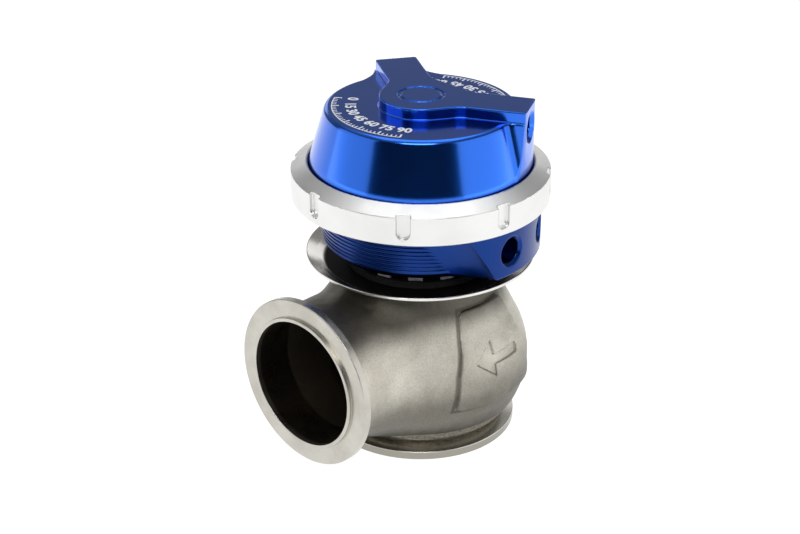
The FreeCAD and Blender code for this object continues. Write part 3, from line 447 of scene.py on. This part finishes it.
# ------------------------------------------------------------------ materials
def cast_material():
    m = Mat("cast_stainless", (0.60, 0.57, 0.50), 0.94, 0.38)
    x, y, z = m.xyz()
    grain = m.noise(2300.0, 4.0, 0.6)
    pits = m.ramp(m.spots(1300.0), 0.0, 0.42)
    broad = m.noise(38.0, 4.0, 0.6)
    stain = m.ramp(m.noise(90.0, 5.0, 0.65), 0.42, 0.75)
    c1 = m.mix(m.ramp(broad, 0.32, 0.7), (0.585, 0.560, 0.490), (0.765, 0.740, 0.655))
    c2 = m.mix(m.math("MULTIPLY", stain, 0.22), c1, (0.40, 0.35, 0.27))
    c3 = m.mix(m.ramp(grain, 0.34, 0.60, 0.28, 0.0), c2, (0.22, 0.20, 0.165))
    # painted shade: darker towards the bottom, standing in for the dark floor's reflection, and darker towards the
    # deck, where the heat-shield dish casts its shadow
    wander = m.math("MULTIPLY", m.math("SUBTRACT", broad, 0.5), 0.010)
    h = m.math("ADD", z, wander)
    low = m.math("ADD", m.ramp(h, 0.040, 0.021, 0.0, 0.76), m.ramp(h, 0.018, 0.011, 0.0, 0.20))
    painted_shade = m.math("MAXIMUM", low, m.ramp(h, 0.0455, 0.0550, 0.0, 0.88))
    c4 = m.mix(painted_shade, c3, (0.045, 0.040, 0.030))
    # painted shade in the crease round the foundry pad
    ay = m.math("ABSOLUTE", y)
    half = m.math("SUBTRACT", m.ramp(z, 0.021, 0.034, 0.0187, 0.01701, smooth=False), m.ramp(z, 0.034, 0.055, 0.0, 0.00687, smooth=False))
    over = m.math("SUBTRACT", ay, half)
    away = m.math("MAXIMUM", over, m.math("MAXIMUM", m.math("SUBTRACT", z, 0.0542), m.math("SUBTRACT", 0.021, z)))
    pad_crease_shade = m.math("MULTIPLY", m.ramp(m.math("ABSOLUTE", m.math("SUBTRACT", away, 0.0003)), 0.0010, 0.0002), m.ramp(x, 0.018, 0.022))
    c5 = m.mix(m.math("MULTIPLY", pad_crease_shade, 0.62), c4, (0.05, 0.043, 0.033))
    # painted shade inside the gas passage: its bore is coloured dark
    r, c = m.radial("y", 0.03524)
    bore = m.math("MULTIPLY", m.ramp(r, 0.0231, 0.0226), m.ramp(y, -0.014, -0.018))
    m.color(m.mix(m.math("MULTIPLY", bore, 0.93), c5, (0.12, 0.098, 0.072)))
    m.rough(m.ramp(grain, 0.3, 0.7, 0.50, 0.42))
    m.bump(broad, 0.10, 0.5)
    m.bump(grain, 0.032)
    m.bump(pits, 0.010)
    return m.m


def outlet_material_painted_bore_shade():
    m = machined("ring_stainless_outlet", (0.66, 0.63, 0.57), 0.24, "y", 0.03524, 0.2, 0.005)
    r, c = m.radial("y", 0.03524)
    x, y, z = m.xyz()
    broad = m.noise(70.0, 4.0, 0.6)
    steel = m.mix(m.ramp(broad, 0.3, 0.7), (0.47, 0.45, 0.40), (0.58, 0.56, 0.51))
    # painted shade: the bore of the outlet ring is coloured dark
    bore = m.math("MULTIPLY", m.ramp(r, 0.0226, 0.02215), m.ramp(y, -0.0573, -0.0562, 0.0, 1.0))
    m.color(m.mix(bore, steel, (0.17, 0.145, 0.11)))
    return m.m


MATS = {}
MATS["cast"] = cast_material()
MATS["outlet"] = outlet_material_painted_bore_shade()
m = machined("ring_stainless_inlet", (0.50, 0.48, 0.42), 0.26, "z", 0, 0.2, 0.005)
r, c = m.radial()
# painted light on one steel: from the neck up (the bead) coloured dark as painted shade, the band from the rim's top
# edge up the taper bright as a painted highlight, the rim's side below it darker as painted shade
upper_painted_shade = m.ramp(c, 0.0042, 0.0056)
grain = m.noise(1900.0, 4.0, 0.6)
lower = m.mix(m.ramp(c, 0.0026, 0.0030), (0.33, 0.315, 0.275), (0.74, 0.72, 0.65))
m.color(m.mix(upper_painted_shade, m.mix(m.ramp(m.noise(70.0, 4.0), 0.3, 0.7, 0.0, 0.25), lower, (0.42, 0.40, 0.345)),
              m.mix(m.ramp(grain, 0.35, 0.6), (0.10, 0.09, 0.07), (0.22, 0.205, 0.17))))
m.rough(m.ramp(upper_painted_shade, 0.0, 1.0, 0.26, 0.38))
MATS["inlet"] = m.m
m = machined("shield_sheet", (0.78, 0.76, 0.72), 0.16, "z", 0, 0.3, 0.002)
r, c = m.radial()
# painted shade and reflection: the dish floor inside the rim is coloured near black, standing in for its shade and the
# dark base underside it reflects
dish_floor_shade = m.math("MULTIPLY", m.ramp(r, 0.0346, 0.0330), m.ramp(c, 0.0621, 0.0624))
m.color(m.mix(dish_floor_shade, m.mix(m.ramp(m.noise(90.0, 4.0), 0.3, 0.7), (0.72, 0.70, 0.66), (0.80, 0.78, 0.74)), (0.02, 0.019, 0.019)))
m.rough(m.ramp(dish_floor_shade, 0.0, 1.0, 0.16, 0.55))
MATS["shield"] = m.m
MATS["standoff"] = machined("standoff_alu", (0.93, 0.93, 0.94), 0.6).m
MATS["alu"] = machined("bare_alu", (0.84, 0.84, 0.84), 0.3).m
MATS["steel"] = machined("dark_steel", (0.42, 0.42, 0.43), 0.3).m
MATS["seat"] = machined("seat_steel", (0.55, 0.54, 0.52), 0.2).m
MATS["bronze"] = machined("guide_bronze", (0.62, 0.43, 0.2), 0.3).m
MATS["collar"] = machined("collar_satin", (0.81, 0.815, 0.80), 0.30, "z", 0, 0.14, 0.002, 0.03).m
MATS["cap"] = anodised("cap_blue", (0.016, 0.145, 0.76), 0.175, 0.5, 0.09).m
# painted shade: the base is a much darker copy of the cap's anodised blue, standing in for the shade it sits in above
# the dish
MATS["base"] = anodised("base_blue_painted_shade", (0.004, 0.036, 0.21), 0.27, 0.2, 0.14).m

m = Mat("insulator_black", (0.012, 0.012, 0.013), 0.0, 0.75, Specular_IOR_Level=0.25)
fib = m.noise(900.0, 5.0, 0.7)
m.color(m.mix(m.ramp(fib, 0.35, 0.65), (0.009, 0.009, 0.010), (0.022, 0.021, 0.020)))
m.bump(fib, 0.03)
MATS["insulator"] = m.m

m = Mat("seal_white", (0.74, 0.72, 0.66), 0.0, 0.42, Subsurface_Weight=0.0)
m.color(m.mix(m.ramp(m.noise(300.0), 0.3, 0.7), (0.68, 0.66, 0.60), (0.78, 0.76, 0.70)))
m.bump(m.noise(2500.0), 0.004)
MATS["ptfe"] = m.m

m = Mat("silicone_black", (0.025, 0.025, 0.027), 0.0, 0.55)
wx, wy, wz = m.xyz()
weave = m.math("MULTIPLY", m.math("SINE", m.math("MULTIPLY", wx, 9000.0)), m.math("SINE", m.math("MULTIPLY", wy, 9000.0)))
m.color(m.mix(m.ramp(weave, -0.5, 0.5), (0.020, 0.020, 0.022), (0.034, 0.034, 0.036)))
m.bump(weave, 0.03)
MATS["silicone"] = m.m

m = Mat("spring_shot", (0.36, 0.36, 0.38), 1.0, 0.42)
dents = m.spots(1600.0)
m.color(m.mix(m.ramp(m.noise(200.0), 0.3, 0.7), (0.30, 0.30, 0.32), (0.42, 0.42, 0.43)))
m.bump(dents, 0.02)
MATS["spring"] = m.m

m = Mat("print_white", (0.90, 0.92, 0.95), 0.0, 0.5)
m.color(m.mix(m.ramp(m.noise(1800.0, 4.0), 0.35, 0.6), (0.84, 0.87, 0.93), (0.93, 0.95, 0.98)))
MATS["print"] = m.m


# ------------------------------------------------------------------ casting
TAB = lattice(7)
TAB2 = lattice(11)
PAD_N = np.array([math.cos(math.radians(22.5)), math.sin(math.radians(22.5))])


def casting(p):
    x, y, z = p[:, 0], p[:, 1], p[:, 2]
    r = np.hypot(x, y)
    arc = np.hypot(r - 6.6, z - 26.0) - 32.0
    barrel = join(arc, r - 27.2, 8.0)
    body = barrel
    pipe = np.hypot(x, z - 35.24) - 25.2
    pipe = np.maximum(pipe, y + 8.0)
    body = join(body, pipe, 12.0)
    # foundry pad with soft edges and a flow arrow on it
    side = np.abs(y) * PAD_N[0] - x * PAD_N[1]
    half = 18.7 - np.clip(z - 21.0, 0.0, 13.0) * 0.13 - np.clip(z - 34.0, 0.0, 21.0) * 0.327
    plan = meet(np.abs(y) - half, np.maximum(21.0 - z, z - 54.2), 2.6)
    rise = np.clip((z - 33.0) / 12.0, 0.0, 1.0)
    pad = meet(barrel - 1.25 - 0.5 * rise, plan, 0.6)
    pad = np.where(x > 0, pad, 9.0)
    u, w = y, z - 37.0
    shaft = np.maximum(np.abs(w) - 1.7, np.abs(u - 3.2) - 6.2)
    head = np.maximum(np.abs(w) * 0.78 + (-u - 3.4) * 0.62 - 4.4, u + 2.8)
    arrow = np.where(x > 0, np.minimum(shaft, head), 9.0)
    groove = meet(arrow, -(barrel - 0.5 - 0.5 * rise), 0.2)
    pad = meet(pad, -groove, 0.3)
    body = join(body, pad, 0.3)
    body = body + 0.055 * noise(p, 3.2, TAB) + 0.035 * noise(p + 31.0, 1.3, TAB2)
    body = meet(body, z - 61.6, 0.5)
    body = meet(body, 9.95 - z, 1.3)
    body = np.maximum(body, -(y + 52.9))
    # gas chamber, cast bore, throat, guide boss
    cham = meet(np.hypot(r - 5.4, z - 29.0) - 27.5, z - 50.5, 3.0)
    boss = meet(r - 10.4, 45.0 - z, 1.0)
    cham = meet(cham, -boss, 1.0)
    bore = np.maximum(np.hypot(x, z - 35.24) - 22.45, y + 17.0)
    cham = join(cham, bore, 1.5)
    cham = np.minimum(cham, np.maximum(r - 24.5, z - 14.0))
    body = meet(body, -cham, 0.5)
    body = np.maximum(body, 6.5 - r + np.where((z > 44.0), 0.0, -99.0))
    return body


skin = sdf_object("casting_skin", casting, (-40.5, -54.5, 8.5), (41.5, 40.5, 63.0), 0.56,
                  slot="cast_steel", replaces=("valve_housing",), mat=MATS["cast"])

# V-band rings
lathe("inlet_flange_turned", [
    (26.0, 0.0, 0.15), (34.15, 0.0, 0.3), (34.15, 3.0, 0.3), (29.4, 4.9, 0.5), (29.4, 5.9, 0.4), (32.3, 6.5, 1.4),
    (32.3, 9.6, 1.3), (30.4, 10.4, 0.3), (27.5, 10.6, 0.1), (24.5, 10.4, 0.1), (24.5, 7.0, 0.05), (26.0, 7.0, 0.05)],
    slot="machined_steel", replaces=("inlet_ring",), mat=MATS["inlet"])
lathe("outlet_flange_turned", [
    (22.2, 44.0, 0.05), (22.2, 58.68, 0.22), (23.5, 58.68, 0.22), (23.5, 57.58, 0.12), (29.66, 57.58, 0.35), (29.66, 54.78, 0.25),
    (25.5, 52.98, 0.5), (25.3, 51.6, 0.3), (24.2, 50.6, 0.1), (24.0, 44.0, 0.05)],
    place=outlet_frame, slot="machined_steel", replaces=("outlet_ring",), mat=MATS["outlet"])
lathe("seat_insert", [
    (22.0, 0.4, 0.15), (25.98, 0.4, 0.1), (25.98, 6.98, 0.1), (22.5, 6.98, 0.06), (21.0, 5.5, 0.1), (21.0, 1.4, 0.1)],
    slot="seat_steel", replaces=("valve_seat",), mat=MATS["seat"])
lathe("poppet", [
    (0, 5.6), (20.9, 5.6, 0.2), (23.2, 7.9, 0.12), (23.2, 9.4, 0.3), (10.0, 12.6, 6.0), (5.4, 15.6, 6.0), (4.0, 20.5, 4.0), (4.0, 83.2, 0.3),
    (3.0, 83.2, 0.05), (3.0, 96.2, 0.6), (0, 96.2)],
    slot="valve_steel", replaces=("valve",), body="valve_train", mat=MATS["seat"])

# ------------------------------------------------------------------ dish, insulator
lathe("shield_dish", [
    (9.0, 61.6, 0.1), (33.2, 61.6, 1.6), (36.77, 63.30, 1.2), (39.92, 65.25, 0.3), (39.92, 66.4, 0.3), (36.3, 64.65, 1.0),
    (33.0, 62.8, 1.0), (9.0, 62.8, 0.1)], seg=320,
    slot="shield_steel", replaces=("heat_shield",), mat=MATS["shield"])
lathe("insulator_disc", [
    (9.0, 62.82, 0.1), (26.2, 62.82, 0.15), (26.2, 65.18, 0.3), (9.0, 65.18, 0.2)],
    slot="insulator", replaces=("insulator_washer",), mat=MATS["insulator"])

# ------------------------------------------------------------------ actuator base
prof = [(11.0, 76.6, 0.4), (11.0, 82.4, 0.5), (8.0, 82.4, 0.3), (8.0, 77.1, 0.1), (6.0, 77.1, 0.1), (6.0, 69.5, 0.3),
        (31.4, 69.5, 0.5), (34.0, 72.06, 0.35)]
slope = (35.8 - 34.0) / (86.9 - 72.06)
for k in range(9):
    z0 = 73.2 + 1.46 * k
    r0 = 34.0 + (z0 - 72.06) * slope
    prof += [(r0, z0, 0.2), (r0 - 0.42, z0 + 0.14, 0.14), (r0 - 0.42, z0 + 0.5, 0.14), (r0, z0 + 0.64, 0.2)]
prof += [(35.7, 86.1, 0.3), (41.0, 86.9, 0.3), (41.35, 87.4, 0.1)]
z0 = 87.7
while z0 < 92.7:
    prof += [(41.35, z0, 0.08), (41.8, z0 + 0.32, 0.1), (41.8, z0 + 0.52, 0.1), (41.35, z0 + 0.84, 0.08)]
    z0 += 1.5
prof += [(41.35, 93.0, 0.1), (41.0, 93.4, 0.1), (38.4, 93.4, 0.1), (38.4, 91.9, 0.1), (36.0, 91.9, 0.1), (36.0, 93.4, 0.1), (33.4, 93.4, 0.2),
         (33.4, 86.0, 0.4), (31.6, 84.0, 0.4), (31.6, 76.6, 0.5)]
lathe("base_turned", prof, seg=256, slot="blue_base", replaces=("actuator_base",), mat=MATS["base"])

BC, BS = math.cos(math.radians(15.0)), math.sin(math.radians(15.0))
PORTS = [(math.cos(math.radians(a)), math.sin(math.radians(a))) for a in (0.0, 30.0)]


def port_cut(s, t, w, mouth, flare=1.3):
    """Bore along s with a chamfered mouth at s = mouth; t and w lie across it."""
    q = np.hypot(t, w)
    bore = q - 4.35
    cone = (q - 4.35 - (s - (mouth - flare))) * 0.7071
    return np.minimum(bore, cone)


def boss_block(p):
    x, y, z = p[:, 0], p[:, 1], p[:, 2]
    r = np.hypot(x, y)
    s, t = x * BC + y * BS, -x * BS + y * BC
    half = 17.2 + (z - 69.5) * (27.0 - 17.2) / 18.0
    side = (np.abs(t) - half) * 0.878
    block = meet(side, r - 41.75, 0.35)
    block = np.maximum(block, 20.0 - s)
    skirt = r - (34.0 + np.clip((z - 72.06) * slope, -2.6, 2.0)) + 0.72
    low = (r - 31.4 - (z - 69.5) * 1.016) * 0.70 + 0.35
    skirt = np.maximum(skirt, low)
    d = join(skirt, block, 8.0)
    d = np.maximum(d, r - 41.75)
    d = meet(d, 69.55 - z, 0.45)
    d = np.maximum(d, z - 87.2)
    d = np.maximum(d, 32.1 - r)
    d = np.maximum(d, np.abs(t) - s * 1.9)
    for c, sn in PORTS:
        ps, pt = x * c + y * sn, -x * sn + y * c
        cut = np.where(ps > 0, port_cut(ps, pt, z - 78.1, 41.8), 9.0)
        d = meet(d, -cut, 0.25)
    return d


sdf_object("base_boss", boss_block, (8.0, -34.0, 68.6), (42.8, 42.0, 88.2), 0.36, slot="blue_base",
           replaces=("actuator_base",), mat=MATS["base"])


# ------------------------------------------------------------------ cap
ARMS = [(math.cos(math.radians(a)), math.sin(math.radians(a))) for a in (147.0, 27.0)]


def cap_shape(p):
    x, y, z = p[:, 0], p[:, 1], p[:, 2]
    r = np.hypot(x, y)
    cone = (r - 38.3) * 0.9584 + (z - 99.86) * 0.2854
    shell = meet(cone, r - 38.3, 0.6)
    shell = meet(shell, z - 119.0, 1.35)
    top = []
    d2 = r - 14.3
    for (c, s), fillet in zip(ARMS, (6.5, 2.6)):
        along, across = x * c + y * s, -x * s + y * c
        d2_arm = np.maximum(np.abs(across) - 7.4, -along)
        d2 = join(d2, d2_arm, 5.0)
        half = 7.9 + np.clip(119.0 - z, 0.0, 30.0) * 0.124
        lug = (np.abs(across) - half) * 0.992
        lug = meet(lug, along - 37.8, 0.4)
        lug = np.maximum(lug, -along)
        lug = meet(lug, z - 119.0, 0.45)
        shell = join(shell, lug, fillet)
        top.append((along, across))
    shell = np.maximum(shell, z - 119.0)
    strip = np.maximum(d2, np.maximum(top[0][0], top[1][0]) - 37.8)
    strip = meet(d2, np.maximum(top[0][0], top[1][0]) - 37.8, 0.3)
    strip = meet(strip, z - 122.8, 0.32)
    strip = np.maximum(strip, 112.0 - z)
    d = join(shell, strip, 0.35)
    d = np.minimum(d, 9.0)
    d = meet(d, r - 38.28, 0.3)
    flange = meet(r - 41.2, z - 96.8, 0.25)
    d = join(d, flange, 0.3)
    d = meet(d, 94.4 - z, 0.25)
    room = meet(r - 31.4 - 0.95 * np.clip(100.4 - z, 0.0, 2.0), (r - 28.6) * 0.89 + (z - 115.5) * 0.453, 0.8)
    room = meet(room, z - 115.5, 0.8)
    d = meet(d, -room, 0.3)
    for along, across in top:
        cut = port_cut(along, across, z - 115.2, 37.8)
        cut = np.maximum(cut, 28.0 - along)
        d = meet(d, -cut, 0.2)
    # shallow turned ring in the hub's middle
    ring = meet(np.abs(r - 7.3) - 0.55, 122.45 - z, 0.15)
    return meet(d, -ring, 0.12)


sdf_object("cap_body", cap_shape, (-42.2, -42.2, 93.6), (42.2, 42.2, 123.6), 0.40, slot="blue_cap", body="cap",
           replaces=("top_cap",), mat=MATS["cap"])


# ------------------------------------------------------------------ collar
BAND = [(42.6, 87.1), (44.1, 87.1), (44.5, 87.5), (44.5, 97.1), (39.4, 99.9), (39.0, 99.9), (38.7, 99.6), (38.7, 97.4), (41.9, 97.4), (41.9, 87.8)]


def collar_shape(p):
    x, y, z = p[:, 0], p[:, 1], p[:, 2]
    r = np.hypot(x, y)
    d = polygon(r, z, BAND) + 0.0
    az = np.degrees(np.arctan2(y, x)) + 54.2
    fold = np.radians((az + 22.5) % 45.0 - 22.5)
    n, t = r * np.cos(fold), r * np.sin(fold)
    across = np.where(z > 91.7, np.abs(t), np.hypot(t, z - 91.7)) - 2.3
    slot = meet(across, 43.25 - n, 0.35)
    return meet(d, -slot, 0.16)


sdf_object("collar_band", collar_shape, (-45.2, -45.2, 86.4), (45.2, 45.2, 100.6), 0.34, slot="collar_aluminium", body="collar",
           replaces=("locking_collar",), mat=MATS["collar"])


# ------------------------------------------------------------------ parts inside the actuator
def spring(name, coil, wire, turns, node):
    lo, hi = 89.32, 115.38
    per, ring = (44), (14)
    total = turns + 1.7
    n = int(per * total)
    rows, verts, norms = [], [], []
    mid_lo, mid_hi = lo + wire, hi - wire
    for i in range(n + 1):
        t = i / n * total
        # closed end turns: the rise starts and stops gently
        f = t / total
        z = mid_lo + (mid_hi - mid_lo) * (f - 0.135 * math.sin(2 * math.pi * f)) if True else 0
        a = 2 * math.pi * t
        ca, sa = math.cos(a), math.sin(a)
        for k in range(ring):
            b = 2 * math.pi * k / ring
            nr, nz = math.cos(b), math.sin(b)
            rr = coil + wire * nr
            verts.append((rr * ca, rr * sa, min(max(z + wire * nz, lo), hi)))
            norms.append((nr * ca, nr * sa, nz))
    faces = []
    for i in range(n):
        for k in range(ring):
            a, b = i * ring + k, i * ring + (k + 1) % ring
            faces.append((a, a + ring, b + ring, b))
    faces.append(tuple(range(ring)))
    faces.append(tuple(reversed(range(n * ring, (n + 1) * ring))))
    ob = make_object(name, verts, faces, norms, slot="spring_steel", body="cap", replaces=(node,), mat=MATS["spring"])
    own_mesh(ob)
    return ob


spring("coil_outer", 24.3, 1.6, 3.1, "outer_spring")
spring("coil_middle", 18.9, 1.35, 3.6, "middle_spring")
spring("coil_inner", 13.5, 1.15, 4.2, "inner_spring")


# rolled diaphragm, its flange held by the cap, its middle clamped to the valve
dia = [(3.2, 85.72), (15.0, 85.72), (28.9, 85.72, 0.8)]
dia += [(28.98, z) for z in (87.5, 89.0, 90.5, 92.0, 93.5, 95.0)]
dia += [(30.6 - 1.5 * math.cos(a), 95.2 + 1.5 * math.sin(a)) for a in np.radians([30, 60, 90, 120, 150])]
dia += [(32.1, 94.6), (32.1, 93.45, 0.3), (36.2, 93.45, 0.1), (36.2, 92.2, 0.3), (38.2, 92.2, 0.3), (38.2, 93.45, 0.1), (40.6, 93.45, 0.1), (40.6, 94.35, 0.1),
        (32.9, 94.38, 0.3), (32.9, 95.0)]
dia += [(30.6 + 2.3 * math.cos(a), 95.2 + 2.3 * math.sin(a)) for a in np.radians([20, 45, 70, 90, 110, 135, 160])]
dia += [(28.3, z) for z in (95.0, 93.5, 92.0, 90.5, 89.0, 87.8)]
dia += [(28.2, 86.68, 0.3), (15.0, 86.68), (3.2, 86.68)]
rubber = lathe("rolled_diaphragm", dia, body=None, slot="diaphragm_rubber", replaces=("diaphragm",), mat=MATS["silicone"])
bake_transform(rubber)

# parts that keep their CAD shape and get a finish
for node, key in (("valve_guide", "bronze"), ("standoff_ring", "standoff"), ("base_screws", "steel"), ("stem_bush", "bronze"), ("stem_seal", "ptfe"),
                  ("seal_circlip", "steel"), ("lower_plate", "alu"), ("piston_cup", "alu"), ("stem_washer", "steel"), ("stem_nut", "steel"), ("slip_ring", "ptfe")):
    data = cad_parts[node].data
    data.materials.clear()
    data.materials.append(MATS[key])

# ------------------------------------------------------------------ printed scale on the cap: plain graduations and numbers
PLATE = 119.0


def strip_mesh(quads, thick=0.03):
    verts, faces = [], []
    for q in quads:
        b = len(verts)
        verts += [(x, y, PLATE - 0.05) for x, y in q] + [(x, y, PLATE + thick) for x, y in q]
        faces += [(b + 3, b + 2, b + 1, b), (b + 4, b + 5, b + 6, b + 7)] + [(b + k, b + (k + 1) % 4, b + 4 + (k + 1) % 4, b + 4 + k) for k in range(4)]
    return verts, faces


def bar(az, r0, r1, w):
    c, s = math.cos(math.radians(az)), math.sin(math.radians(az))
    h = w / 2
    return [(r0 * c + h * s, r0 * s - h * c), (r1 * c + h * s, r1 * s - h * c), (r1 * c - h * s, r1 * s + h * c), (r0 * c - h * s, r0 * s + h * c)]


def band(a0, a1, r0, r1, step=2.0):
    n = max(1, int(round((a1 - a0) / step)))
    out = []
    for i in range(n):
        p, q = math.radians(a0 + (a1 - a0) * i / n), math.radians(a0 + (a1 - a0) * (i + 1) / n)
        out.append([(r0 * math.cos(p), r0 * math.sin(p)), (r1 * math.cos(p), r1 * math.sin(p)), (r1 * math.cos(q), r1 * math.sin(q)), (r0 * math.cos(q), r0 * math.sin(q))])
    return out


def scale_marks(name, a0, a1, r0, every=3.0, long_every=5):
    quads = band(a0, a1, r0 + 2.6, r0 + 3.0)
    count = int(round((a1 - a0) / every))
    for i in range(count + 1):
        big = i % long_every == 0
        quads.append(bar(a0 + i * every, r0 + (0.3 if big else 1.3), r0 + 2.7, 0.6 if big else 0.42))
    v, f = strip_mesh(quads)
    me = make_object(name, v, f, slot="blue_cap", body="cap", mat=MATS["print"])
    me.data.polygons.foreach_set("use_smooth", [False] * len(me.data.polygons))
    return me


def numeral(name, text, az, r, size):
    cu = bpy.data.curves.new(name, "FONT")
    cu.body = text
    cu.size = size * MM
    cu.align_x, cu.align_y = "CENTER", "CENTER"
    cu.extrude = 0.03 * MM
    cu.offset = 0.16 * MM
    cu.resolution_u = 4
    tmp = bpy.data.objects.new(name + "_src", cu)
    bpy.context.scene.collection.objects.link(tmp)
    bpy.context.view_layer.update()
    me = bpy.data.meshes.new_from_object(tmp.evaluated_get(bpy.context.evaluated_depsgraph_get()))
    bpy.data.objects.remove(tmp)
    a = math.radians(az)
    me.transform(Matrix.Translation((r * MM * math.cos(a), r * MM * math.sin(a), PLATE * MM)) @ Matrix.Rotation(a + math.pi / 2, 4, "Z"))
    me.name = name
    me.materials.clear()
    me.materials.append(MATS["print"])
    ob = bpy.data.objects.new(name, me)
    bpy.context.scene.collection.objects.link(ob)
    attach(ob, "cap")
    return ob


scale_marks("scale_marks_a", -150.0, -60.0, 27.3)
for k in range(7):
    numeral("numeral_a%d" % k, str(15 * k), -150.0 + 15.0 * k, 23.9, 5.0)
scale_marks("scale_marks_b", 57.0, 117.0, 27.3)
for k in range(5):
    numeral("numeral_b%d" % k, str(15 * k), 57.0 + 15.0 * k, 23.9, 5.0)

# ------------------------------------------------------------------ floor, light, camera
scene = bpy.context.scene
scene.view_settings.view_transform = "Standard"
scene.view_settings.look = "None"

me = bpy.data.meshes.new("floor")
N = 5.0
me.from_pydata([(-N, -N, -0.0002), (N, -N, -0.0002), (N, N, -0.0002), (-N, N, -0.0002)], [], [(0, 1, 2, 3)])
floor = bpy.data.objects.new("floor", me)
scene.collection.objects.link(floor)
fm = Mat("floor_white", (0.22, 0.22, 0.22), 0.0, 0.8, Emission_Strength=0.97)
fm.p.inputs["Emission Color"].default_value = (1, 1, 1, 1)
fm.p.inputs["Specular IOR Level"].default_value = 0.2
me.materials.append(fm.m)

VIEW = math.radians(-46.226)           # azimuth from the object to the camera


def softbox(name, az_from_camera, dist, height, size_x, size_z, radiance, aim_z=0.06, color=(1, 1, 1)):
    a = VIEW + math.radians(az_from_camera)
    li = bpy.data.lights.new(name, "AREA")
    li.shape = "RECTANGLE"
    li.size, li.size_y = size_x, size_z
    li.energy = radiance * math.pi * size_x * size_z
    li.color = color
    ob = bpy.data.objects.new(name, li)
    scene.collection.objects.link(ob)
    ob.location = (dist * math.cos(a), dist * math.sin(a), height)
    ob.rotation_euler = (Vector((0, 0, aim_z)) - ob.location).to_track_quat("-Z", "Y").to_euler()
    return ob


softbox("left_box", -80.0, 0.80, 0.22, 0.80, 0.75, 0.85)
softbox("right_box", 72.0, 0.80, 0.22, 1.0, 0.75, 1.12)
softbox("front_box", -4.0, 0.80, 0.78, 0.60, 0.38, 5.2)
softbox("strip_left", -159.0, 0.90, 0.32, 0.30, 0.26, 0.9)
softbox("strip_right", 159.0, 0.90, 0.32, 0.30, 0.26, 0.9)
softbox("top_box", 172.0, 0.16, 1.05, 0.95, 0.80, 1.15)

world = bpy.data.worlds.new("studio")
scene.world = world
world.use_nodes = True
wt = world.node_tree
wt.nodes.clear()
wo = wt.nodes.new("ShaderNodeOutputWorld")
bg = wt.nodes.new("ShaderNodeBackground")
wt.links.new(bg.outputs[0], wo.inputs[0])
tc = wt.nodes.new("ShaderNodeTexCoord")
dot = wt.nodes.new("ShaderNodeVectorMath")
dot.operation = "DOT_PRODUCT"
dot.inputs[1].default_value = (-math.cos(VIEW), -math.sin(VIEW), 0.0)
wt.links.new(tc.outputs["Generated"], dot.inputs[0])
rng = wt.nodes.new("ShaderNodeMapRange")
rng.interpolation_type = "SMOOTHSTEP"
rng.inputs["From Min"].default_value = -0.2
rng.inputs["From Max"].default_value = 0.75
rng.inputs["To Min"].default_value = 0.008
rng.inputs["To Max"].default_value = 0.22
wt.links.new(dot.outputs["Value"], rng.inputs["Value"])
sep = wt.nodes.new("ShaderNodeSeparateXYZ")
wt.links.new(tc.outputs["Generated"], sep.inputs[0])
dome = wt.nodes.new("ShaderNodeMapRange")
dome.interpolation_type = "SMOOTHSTEP"
dome.inputs["From Min"].default_value = 0.56
dome.inputs["From Max"].default_value = 0.74
dome.inputs["To Min"].default_value = 0.0
dome.inputs["To Max"].default_value = 0.30
wt.links.new(sep.outputs[2], dome.inputs["Value"])
both = wt.nodes.new("ShaderNodeMath")
both.operation = "ADD"
wt.links.new(rng.outputs[0], both.inputs[0])
wt.links.new(dome.outputs[0], both.inputs[1])
wt.links.new(both.outputs[0], bg.inputs["Color"])

cam = bpy.data.cameras.new("camera")
cam.lens = 76.63
cam.sensor_width = 36.0
cam.clip_end = 20.0
co = bpy.data.objects.new("camera", cam)
scene.collection.objects.link(co)
co.location = (0.367065, -0.393393, 0.323200)
co.rotation_euler = (math.radians(63.776), 0.0, math.radians(43.774))
scene.camera = co

bpy.context.view_layer.update()
